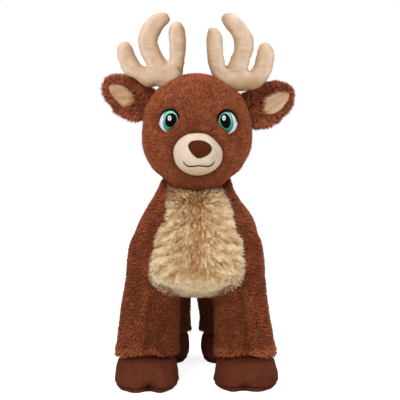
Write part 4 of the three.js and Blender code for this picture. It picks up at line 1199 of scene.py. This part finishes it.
def make_face(head):
    """Muzzle, nose, mouth and eyes, laid on where the photograph has them."""
    skull = surface_of(head)
    smile = curved(MOUTH, steps=4, closed=False)

    def creases(px, py, share):
        """The smile pulled in by its stitches, the seam under it, and the unevenness of the filling."""
        away = min(math.hypot(px - x, py - y) for x, y in smile)
        pulled = -0.9 * MM * math.exp(-((away / 1.6) ** 2))
        seam = -1.2 * MM * math.exp(-(((px - CHIN_SEAM) / 0.9) ** 2)) * smooth(172.5, 175.5, py)
        return pulled + seam + 0.7 * MM * noise.noise(Vector((px / 11, py / 11, 4.7))) * (1 - share**2)

    raised = {"lift": 2.5 * MM, "dome": 15.5 * MM, "sink": 4 * MM, "roundness": 0.72}
    muzzle = patch("muzzle_skin", MUZZLE, skull, rings=24, wave=creases, **raised)
    filled = ["muzzle_cover", "muzzle_stuffing"]
    dress(muzzle, "Cream brushed plush", "head", filled)
    # Painted shade: darker on the underside, in a line round the rim and towards the right side
    px, py = seen_at(places_of(muzzle.data))
    rim = smooth(0.9, 0.1, depth_inside(MUZZLE, px, py))
    store(muzzle.data, "shade", -0.34 * smooth(160, 178, py) - 0.25 * rim - 0.12 * smooth(206, 224, px))
    ground = surface_of(muzzle)
    nose = patch("nose", NOSE, ground, lift=1.0 * MM, dome=1.6 * MM, rings=9)
    dress(nose, "Brown velour", "head", ["nose_patch"])
    mouth = ribbon("mouth_stitch", MOUTH, SMILE_WIDTHS, ground, 0.45 * MM)
    dress(mouth, "Dark brown thread", "head")
    for side, eye in EYES.items():
        middle = np.mean(eye["iris"], 0)
        inner = [tuple(middle + (np.array(point) - middle) * IRIS_SHARE) for point in eye["iris"]]
        # Name, outline, millimetres raised at its edge and more in its middle, rings, finish
        layers = (
            ("white", eye["white"], 1.9, 0.5, 7, "White rayon thread"),
            ("rim", eye["iris"], 2.2, 0.4, 7, "Dark green rayon thread"),
            ("iris", inner, 2.4, 0.5, 7, "Green rayon thread"),
            ("pupil", eye["pupil"], 2.7, 0.4, 7, "Black rayon thread"),
            ("light", oval(eye["light"], 1.9, 2.7), 3.2, 0.3, 3, "White rayon thread"),
            ("heart", oval(eye["light"], 0.45, 1.3), 3.6, 0.1, 3, "Black rayon thread"),
        )
        for name, outline, lift, dome, rings, kind in layers:
            layer = patch(f"eye_{side}_{name}", outline, skull, lift * MM, dome * MM, rings)
            dress(layer, kind, "head", [f"eye_{side}"] if name == "white" else ())
        lid = ribbon(f"eye_{side}_lid", eye["lid"], eye["lid_widths"], skull, 3.7 * MM)
        dress(lid, "Black rayon thread", "head")


EAR_RISE = {"left": math.radians(34), "right": math.radians(29)}  # how steeply each ear points up
EAR_LENGTH = 0.063
# Creases of the ear linings: pixel, fall for each pixel to the right, width in pixels
FOLDS = {
    "left": [(121, 91.0, -0.35, 3.2), (121, 98.3, 0.05, 2.4)],
    "right": [(278, 103.5, -0.75, 3.0), (278, 97.5, -0.55, 2.4)],
}


def fold_lines(side, px, py):
    """How far a place lies from each crease of an ear lining, in widths of the crease."""
    return [(py - y - (px - x) * fall) / width for x, y, fall, width in FOLDS[side]]


def make_ear(side):
    """One ear: a shaggy leaf with a smooth folded lining let into its front."""
    deer = bpy.context.scene.plush_deer
    body = f"ear_{side}"
    sign = SIDES[side]
    base = np.array(JOINT[f"ear_flop_{side}"]["pos_m"])
    back = stuffed(f"{body}_skin", EARS[side], base[1], half=5.5 * MM, spacing=1.8 * MM, inset=2.8 * MM)
    mesh = back.data
    places, normals = form_of(mesh)
    places += normals * lumps(places, (16, 0.9, 51))[:, None]
    set_places(mesh, places)
    normals = normals_of(mesh)
    dress(back, "Brown knitted backing", body, [f"ear_back_{side}"])

    # Out to the tip of the ear, and over its width
    rise, height = EAR_RISE[side], places[:, 2]
    out = np.array((sign * math.cos(rise), 0, math.sin(rise)))
    over = np.array((-sign * math.sin(rise), 0, math.cos(rise)))
    reach, aside = (places - base) @ out / EAR_LENGTH, (places - base) @ over
    inside = behind(LININGS[side], places, normals)
    rim = np.exp(-(((inside + 1) / 2.5) ** 2))
    fringe = smooth(0.75, 0.3, np.abs(normals[:, 1]))
    comb = out * (0.35 + 0.5 * smooth(0.5, 1.0, reach))[:, None] + over * (aside / (14 * MM))[:, None]
    comb += 0.35 * np.stack([noise_at(places, 8 * MM, s) for s in (52, 53, 54)], 1)
    comb = across_skin(comb, normals) * (1 - 0.7 * rim)[:, None]
    nap = 0.8 + 0.3 * smooth(0.2, 0.7, reach) - 0.12 * rim + 0.15 * fringe
    tip = smooth(-0.3, 0.4, (normals @ over) + (normals @ out))
    nap *= 1 - (0.32 if side == "right" else 0.18) * fringe * tip
    # Lighter towards the tip, along the fringe and on the left ear, and as painted light low on the ear,
    # where the pile shades it
    shade = 0.16 + 0.12 * smooth(0.4, 1, reach) + 0.16 * smooth(0.312, 0.295, height) + 0.1 * fringe
    shade += (0.1 + 0.12 * smooth(0.315, 0.295, height)) * (side == "left")
    growing = shown(f"{body}_growing", mesh.copy())
    plan_pile(growing.data, (1 - smooth(0.8, 2.0, inside)) * (1 - 0.45 * fringe), nap, comb, shade)
    shaggy = {
        "Density": deer.pile_density * 1.9e6, "Length": deer.ear_length, "Width": 0.62 * MM, "Lift": 0.8,
        "Lay": 0.75, "Jitter": 0.3, "Tuft size": 3.0 * MM, "Tuft pull": 1.1, "Patch size": 7 * MM,
    }
    kind, blade = "Red brown shaggy pile", "blade_bent"
    grow(f"{body}_pile", growing, kind, blade, 61, body, shaggy, soften=0.6)

    def folds(px, py, share):
        """Soft creases that run across the lining from its inner end."""
        return -(1 - share**2) * 1.7 * MM * sum(math.exp(-(each**2)) for each in fold_lines(side, px, py))

    ground = surface_of(back)
    raised = {"lift": 2.3 * MM, "dome": 0.8 * MM, "rings": 18}
    lining = patch(f"{body}_lining", LININGS[side], ground, wave=folds, **raised)
    # Painted shade: darker at the inner end, in the folds' valleys and along the edge under the pile; the
    # left lining darker overall
    px, py = seen_at(places_of(lining.data))
    inner = smooth(126, 136, px) if side == "left" else smooth(268, 260, px)
    valleys = sum(np.exp(-(each**2)) for each in fold_lines(side, px, py))
    edge = smooth(1.6, 0.2, depth_inside(LININGS[side], px, py))
    store(lining.data, "shade", -0.34 * inner - 0.2 * valleys - 0.4 * edge - 0.12 * (side == "left"))
    dress(lining, "Cream ear lining", body, [f"ear_lining_{side}"])


# Creases of the antlers: pixel, lean, half length in pixels, depth in millimetres
CREASES = {
    "left": [
        (147.0, 67.5, 0.35, 5.0, 1.1), (178.5, 69.0, 0.9, 4.5, 1.2), (150.5, 44.5, 0.05, 6.0, 0.6),
        (151.0, 49.0, 0.0, 5.0, 0.45), (178.0, 44.5, 0.0, 5.5, 0.6), (178.5, 49.5, 0.05, 5.0, 0.4),
        (150.0, 58.5, 0.15, 6.0, 0.6), (165.0, 64.0, -0.5, 5.0, 0.7), (127.5, 58.0, -0.2, 5.0, 0.45),
        (133.0, 69.5, 0.5, 5.0, 0.5), (160.0, 82.0, 0.1, 6.0, 0.7),
    ],
    "right": [
        (243.5, 45.6, 0.0, 6.0, 0.7), (244.0, 51.7, 0.0, 6.0, 0.8), (243.0, 58.0, 0.1, 5.0, 0.5),
        (247.0, 70.2, 0.3, 4.5, 1.1), (227.0, 68.5, -0.2, 5.0, 0.9), (214.5, 50.5, 0.0, 5.0, 0.5),
        (214.5, 62.0, 0.15, 5.0, 0.6), (261.5, 66.0, 0.0, 5.5, 0.5), (236.0, 71.5, -0.1, 8.0, 0.7),
        (218.0, 71.0, 0.7, 5.0, 0.7),
    ],
}


def make_antler(side):
    """One antler: three stuffed tines from a palm, creased where they part."""
    body = f"antler_{side}"
    skin = stuffed(f"{body}_skin", ANTLERS[side], HEAD.y, half=9 * MM, spacing=1.6 * MM, inset=-1.15 * MM)
    places, normals = form_of(skin.data)
    px, py = seen_at(places)
    rub = lumps(places * np.array((1, 1, 2.2)), (10, 0.45, 71)) + lumps(places, (22, 0.7, 72))
    edge = np.exp(-(((places[:, 1] - HEAD.y) / (1.0 * MM)) ** 2)) * 0.5 * MM
    pulled = np.zeros(len(places))
    for x, y, lean, long, deep in CREASES[side]:
        along = (px - x) * math.cos(lean) + (py - y) * math.sin(lean)
        aside = (py - y) * math.cos(lean) - (px - x) * math.sin(lean)
        pulled += deep * np.exp(-((aside / 1.0) ** 2) - (along / long) ** 2)
    set_places(skin.data, places + normals * (rub - edge - pulled * MM)[:, None])
    # Painted light and shade: lighter on the outer and upper sides, darker on the inner and lower ones, in
    # the creases and by the head; the noise adds the cloth's own mottle
    inner, up = -SIDES[side] * normals[:, 0], normals[:, 2]
    painted_light_and_mottle = 0.3 * smooth(-0.15, 0.75, -inner) - (0.42 if side == "left" else 0.3) * smooth(-0.2, 0.85, inner)
    painted_light_and_mottle += 0.1 * noise_at(places, 9 * MM, 73)
    painted_light_and_mottle += 0.12 * smooth(0.2, 0.9, up) - 0.12 * smooth(-0.1, -0.8, up)
    low = smooth(82, 92, py + 0.12 * np.abs(px - TOY_COLUMN))
    store(skin.data, "shade", painted_light_and_mottle - 0.26 * pulled - 0.45 * low)
    dress(skin, "Beige brushed plush", body, body_nodes(body))


SOLE_HEIGHT = 0.0047  # the seam between hoof and sole
# How far each hoof's toes come forward
TOE_REACH = {"front_left": 0.009, "front_right": 0.003, "rear_left": 0.002, "rear_right": 0.002}
CLEFT_ASIDE = 2.2  # millimetres from the hoof's middle to the cleft between its toes
CLEFT_WIDTH = 6.5 * MM


def make_hoof(row, side):
    """One hoof: a round suede bag with two toes, tucked under the cuff and sewn to a sole."""
    body = f"leg_{row}_{side}"
    name = f"{row}_{side}"
    front, sign = row == "front", SIDES[side]
    nodes = [f"hoof_cover_{name}", f"hoof_stuffing_{name}"]
    solids = [*nodes, f"hoof_sole_{name}"]
    whole = merged_solids("hoof_form", solids, voxel=1.8 * MM, rounds=34, rise=1.8 * MM)
    mesh = whole.data
    places, normals = form_of(mesh)
    x, y, z = places.T
    middle = sum(corner.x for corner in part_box(f"hoof_sole_{name}")) / 2
    if not front:
        x[:] = middle + (x - middle) * 0.93 - HOOF_SHIFT[side]
        middle -= HOOF_SHIFT[side]
    # Wider at its foot, and tucked in under the cuff
    away = (x - middle) * sign
    tuck = smooth(0.012, 0.034, z) * (1 if front else 0.2)
    full = smooth(0.015, 0.006, z) * (1 if front else 0)
    x += sign * smooth(0, 0.034, away) * (1.4 + 1.2 * full - 3.0 * tuck) * MM
    x -= sign * smooth(0, -0.034, away) * (-1.0 + 2.2 * full - 3.2 * tuck) * MM
    ahead = smooth(0.1, 0.7, -normals[:, 1])
    y += 4.5 * MM * smooth(0.020, 0.034, z) * ahead
    # The cleft between its toes, the pinched seam round its sole and the unevenness of the filling
    notch = (x - middle + sign * CLEFT_ASIDE * MM) / CLEFT_WIDTH
    cleft = np.exp(-(notch**2)) * ahead
    seam = np.exp(-(((z - SOLE_HEIGHT) / (1.0 * MM)) ** 2)) * smooth(0.9, 0.5, np.abs(normals[:, 2]))
    rub = lumps(places, (18, 1.0, 81), (7, 0.35, 82))
    neck = smooth(CUFF_HEIGHT - 0.008, CUFF_HEIGHT - 0.001, z)
    pinch = np.exp(-((1.5 * notch) ** 2)) * ahead * smooth(0.010, 0.006, z)
    places += normals * (rub - 0.3 * MM * pinch - 1.2 * MM * seam - 2.4 * MM * neck)[:, None]
    y += 4.5 * MM * cleft * smooth(0.014, 0.002, z)
    # The toes come forward, and nothing goes through the floor
    toes = smooth(-0.1, 0.6, -normals[:, 1]) * (1 - cleft)
    y -= TOE_REACH[name] * toes * smooth(0.026, 0.003, z)
    np.maximum(z, 0, out=z)
    set_places(mesh, places)
    # Painted shade: a dark band under the cuff, along the sole's seam and in the cleft
    store(mesh, "shade", -0.6 * smooth(0.0295, 0.034, z) - 0.55 * seam - 0.12 * pinch)
    under = arrows_of(mesh.polygons, "center")[:, 2] < SOLE_HEIGHT
    for part, faces, hidden in (("hoof", ~under, nodes), ("sole", under, [f"hoof_sole_{name}"])):
        piece = part_of(f"{part}_{name}", mesh, faces)
        dress(piece, "Brown suede cloth", body, hidden)
    bpy.data.objects.remove(whole)


def make_tail():
    """A short leaf, brown above and cream below."""
    deer = bpy.context.scene.plush_deer
    skin = merged_solids("tail_skin", ["tail_top", "tail_under"], voxel=1.6 * MM, rounds=6)
    mesh = skin.data
    places, normals = form_of(mesh)
    dress(skin, "Cream knitted backing", "tail", ["tail_top", "tail_under"])
    comb = across_skin(np.tile(np.array((0.0, 0.75, -0.65)), (len(places), 1)), normals)
    upper = smooth(-0.15, 0.05, normals[:, 2] * 0.8 + normals[:, 1] * 0.6)
    grown = 0.55 + 0.45 * smooth(0.0, 0.02, places[:, 1] - JOINT["tail_lift"]["pos_m"][1])
    shaggy = {
        "Density": deer.pile_density * 1e6, "Length": deer.ear_length, "Tuft size": 5 * MM, "Tuft pull": 0.6,
    }
    for name, kind, slot, cover, nap in (
        ("tail_pile_top", "Red brown shaggy pile", "brown_pile", upper, 1.0),
        ("tail_pile_under", "Cream shaggy pile", "cream_shag", 1 - upper, 0.8),
    ):
        growing = shown(f"{name}_growing", mesh.copy())
        plan_pile(growing.data, cover, nap * grown, comb, np.zeros(len(places)))
        grow(name, growing, kind, "blade_bent", 91, "tail", shaggy, soften=0.6)


# Stage


LIGHTS_AIM = Vector((0, 0, 0.2))
FLOOR_REACH = 3  # half the size of the paper


def softbox(name, place, size, watts):
    """A soft area light that shines on the middle of the toy."""
    light = bpy.data.lights.new(name, "AREA")
    light.shape = "RECTANGLE"
    light.size, light.size_y = size
    light.energy = watts
    lamp = shown(name, light)
    lamp.location = place
    lamp.rotation_euler = (LIGHTS_AIM - Vector(place)).to_track_quat("-Z", "Y").to_euler()
    return lamp


def paper_sweep():
    """White paper, lit to pure white away from the toy and keeping its soft shadow close to it."""
    material, tree, shader = principled("White paper sweep", roughness=1.0, specular=0.0)
    place = node(tree, "ShaderNodeTexCoord").outputs["Object"]
    grain = node(tree, "ShaderNodeTexNoise", {"Vector": place, "Scale": 300.0}).outputs[0]
    tint = ramp(tree, grain, [(0.0, [0.93, 0.93, 0.93, 1]), (1.0, [0.95, 0.95, 0.95, 1])])
    feed(tree, shader, {"Base Color": tint})
    away = node(tree, "ShaderNodeVectorMath", {0: place}, operation="LENGTH").outputs["Value"]
    fade = {"Value": away, "From Min": 0.15, "From Max": 0.5, "To Min": 0.82, "To Max": 1.0}
    lit = node(tree, "ShaderNodeMapRange", fade).outputs[0]
    strength = math_node(tree, "MULTIPLY", lit, node(tree, "ShaderNodeLightPath").outputs["Is Camera Ray"])
    glow = node(tree, "ShaderNodeEmission", {"Color": (1, 1, 1, 1), "Strength": strength})
    both = node(tree, "ShaderNodeAddShader", {0: shader.outputs[0], 1: glow.outputs[0]}).outputs[0]
    feed(tree, tree.nodes["Material Output"], {"Surface": both})
    return material


def make_stage():
    """White sweep, soft studio light, and the photograph's camera."""
    deer = bpy.context.scene.plush_deer
    world = bpy.data.worlds.new("Studio")
    bpy.context.scene.world = world
    world.use_nodes = True
    tree = world.node_tree
    tree.nodes.clear()
    # White as the camera sees it, straight or through something, and a weaker fill light on the toy
    path = node(tree, "ShaderNodeLightPath").outputs
    seen = math_node(tree, "MAXIMUM", path["Is Camera Ray"], path["Is Glossy Ray"])
    seen = math_node(tree, "MAXIMUM", seen, path["Is Transmission Ray"])
    fill, white = (
        node(tree, "ShaderNodeBackground", {"Color": (1, 1, 1, 1), "Strength": strength}).outputs[0]
        for strength in (deer.fill_light, 1.0)
    )
    mixed = node(tree, "ShaderNodeMixShader", {0: seen, 1: fill, 2: white}).outputs[0]
    node(tree, "ShaderNodeOutputWorld", {"Surface": mixed})

    bm = bmesh.new()
    bmesh.ops.create_grid(bm, x_segments=1, y_segments=1, size=FLOOR_REACH)
    floor = shown("floor", mesh_from(bm, "floor"))
    floor.data.materials.append(paper_sweep())

    key = softbox("key", (-0.55, -1.5, 1.25), (0.9, 0.9), deer.key_light)
    side = softbox("side", (1.1, -1.1, 0.7), (0.7, 0.9), deer.key_light * 0.25)
    top = softbox("top", (0, 0.1, 1.6), (1.2, 1.2), deer.key_light * 0.45)

    camera = bpy.data.cameras.new("camera")
    camera.lens, camera.sensor_width = CAMERA_LENS, SENSOR_WIDTH
    eye = shown("camera", camera)
    eye.location = CAMERA_PLACE
    eye.rotation_euler = AHEAD.to_track_quat("-Z", "Y").to_euler()
    bpy.context.scene.camera = eye
    bpy.context.scene.view_settings.view_transform = "Standard"


# Add-on


def colour_of(name, description, code):
    return bpy.props.FloatVectorProperty(
        name=name, description=description, subtype="COLOR", size=4, min=0, max=1, default=linear(code)
    )


class PlushDeerSettings(bpy.types.PropertyGroup):
    pile_length: bpy.props.FloatProperty(
        name="Pile length", description="Length of the short brown pile", default=4.2 * MM, unit="LENGTH"
    )
    pile_density: bpy.props.FloatProperty(
        name="Pile density", description="Blades of brown pile per square millimetre", default=2.7
    )
    ear_length: bpy.props.FloatProperty(
        name="Ear pile length", description="Length of the shaggy pile on ears and tail", default=6.5 * MM,
        unit="LENGTH",
    )
    shag_length: bpy.props.FloatProperty(
        name="Chest pile length", description="Length of the cream pile on the chest", default=10.5 * MM,
        unit="LENGTH",
    )
    shag_density: bpy.props.FloatProperty(
        name="Chest pile density", description="Blades of cream pile per square millimetre", default=4.4
    )
    brown: colour_of("Brown", "Pile of body, legs and head", "#BC6842")
    ear_brown: colour_of("Ear brown", "Shaggy pile of ears and tail", "#B4633F")
    cream: colour_of("Cream", "Long pile of the chest", "#FBE2B6")
    muzzle: colour_of("Muzzle", "Brushed plush of the muzzle", "#E3CDB6")
    lining: colour_of("Ear lining", "Brushed plush let into the ears", "#CFAE8E")
    antler: colour_of("Antler", "Brushed plush of the antlers", "#CFB297")
    hoof: colour_of("Hoof", "Suede cloth of the hooves", "#5F3020")
    nose: colour_of("Nose", "Velour of the nose", "#50250F")
    iris: colour_of("Iris", "Green thread of the eyes", "#3FAF86")
    fill_light: bpy.props.FloatProperty(
        name="Fill light", description="Strength of the sky light", default=0.36
    )
    key_light: bpy.props.FloatProperty(
        name="Key light", description="Power of the main softbox in watts", default=19.0
    )


class PlushDeerBody(bpy.types.Operator):
    """Makes the torso, the legs, the chest panel and their pile"""

    bl_idname = "plush_deer.body"
    bl_label = "Body, legs and chest"

    def execute(self, context):
        make_body()
        return {"FINISHED"}


class PlushDeerHead(bpy.types.Operator):
    """Makes the head and its face"""

    bl_idname = "plush_deer.head"
    bl_label = "Head and face"

    def execute(self, context):
        make_head()
        return {"FINISHED"}


class PlushDeerEars(bpy.types.Operator):
    """Makes the two ears with their linings"""

    bl_idname = "plush_deer.ears"
    bl_label = "Ears"

    def execute(self, context):
        for side in SIDES:
            make_ear(side)
        return {"FINISHED"}


class PlushDeerAntlers(bpy.types.Operator):
    """Makes the two stuffed antlers"""

    bl_idname = "plush_deer.antlers"
    bl_label = "Antlers"

    def execute(self, context):
        for side in SIDES:
            make_antler(side)
        return {"FINISHED"}


class PlushDeerHooves(bpy.types.Operator):
    """Makes the four hooves and their soles"""

    bl_idname = "plush_deer.hooves"
    bl_label = "Hooves"

    def execute(self, context):
        for row, side in LEGS:
            make_hoof(row, side)
        return {"FINISHED"}


class PlushDeerTail(bpy.types.Operator):
    """Makes the tail"""

    bl_idname = "plush_deer.tail"
    bl_label = "Tail"

    def execute(self, context):
        make_tail()
        return {"FINISHED"}


class PlushDeerStage(bpy.types.Operator):
    """Makes the white sweep, the lights and the camera"""

    bl_idname = "plush_deer.stage"
    bl_label = "Stage and camera"

    def execute(self, context):
        make_stage()
        return {"FINISHED"}


PIECES = (
    PlushDeerBody, PlushDeerHead, PlushDeerEars, PlushDeerAntlers, PlushDeerHooves, PlushDeerTail,
    PlushDeerStage,
)


class PlushDeerPanel(bpy.types.Panel):
    """Lists the settings and the steps of the deer"""

    bl_idname = "VIEW3D_PT_plush_deer"
    bl_label = "Plush deer"
    bl_space_type = "VIEW_3D"
    bl_region_type = "UI"
    bl_category = "Plush deer"

    def draw(self, context):
        for name in PlushDeerSettings.__annotations__:
            self.layout.prop(context.scene.plush_deer, name)
        for each in PIECES:
            self.layout.operator(each.bl_idname)


CLASSES = (PlushDeerSettings, *PIECES, PlushDeerPanel)


def register():
    for each in CLASSES:
        bpy.utils.register_class(each)
    bpy.types.Scene.plush_deer = bpy.props.PointerProperty(type=PlushDeerSettings)


def unregister():
    del bpy.types.Scene.plush_deer
    for each in reversed(CLASSES):
        bpy.utils.unregister_class(each)


def main():
    register()
    bpy.ops.plush_deer.body()
    bpy.ops.plush_deer.head()
    bpy.ops.plush_deer.ears()
    bpy.ops.plush_deer.antlers()
    bpy.ops.plush_deer.hooves()
    bpy.ops.plush_deer.tail()
    bpy.ops.plush_deer.stage()


if __name__ == "__main__":
    main()
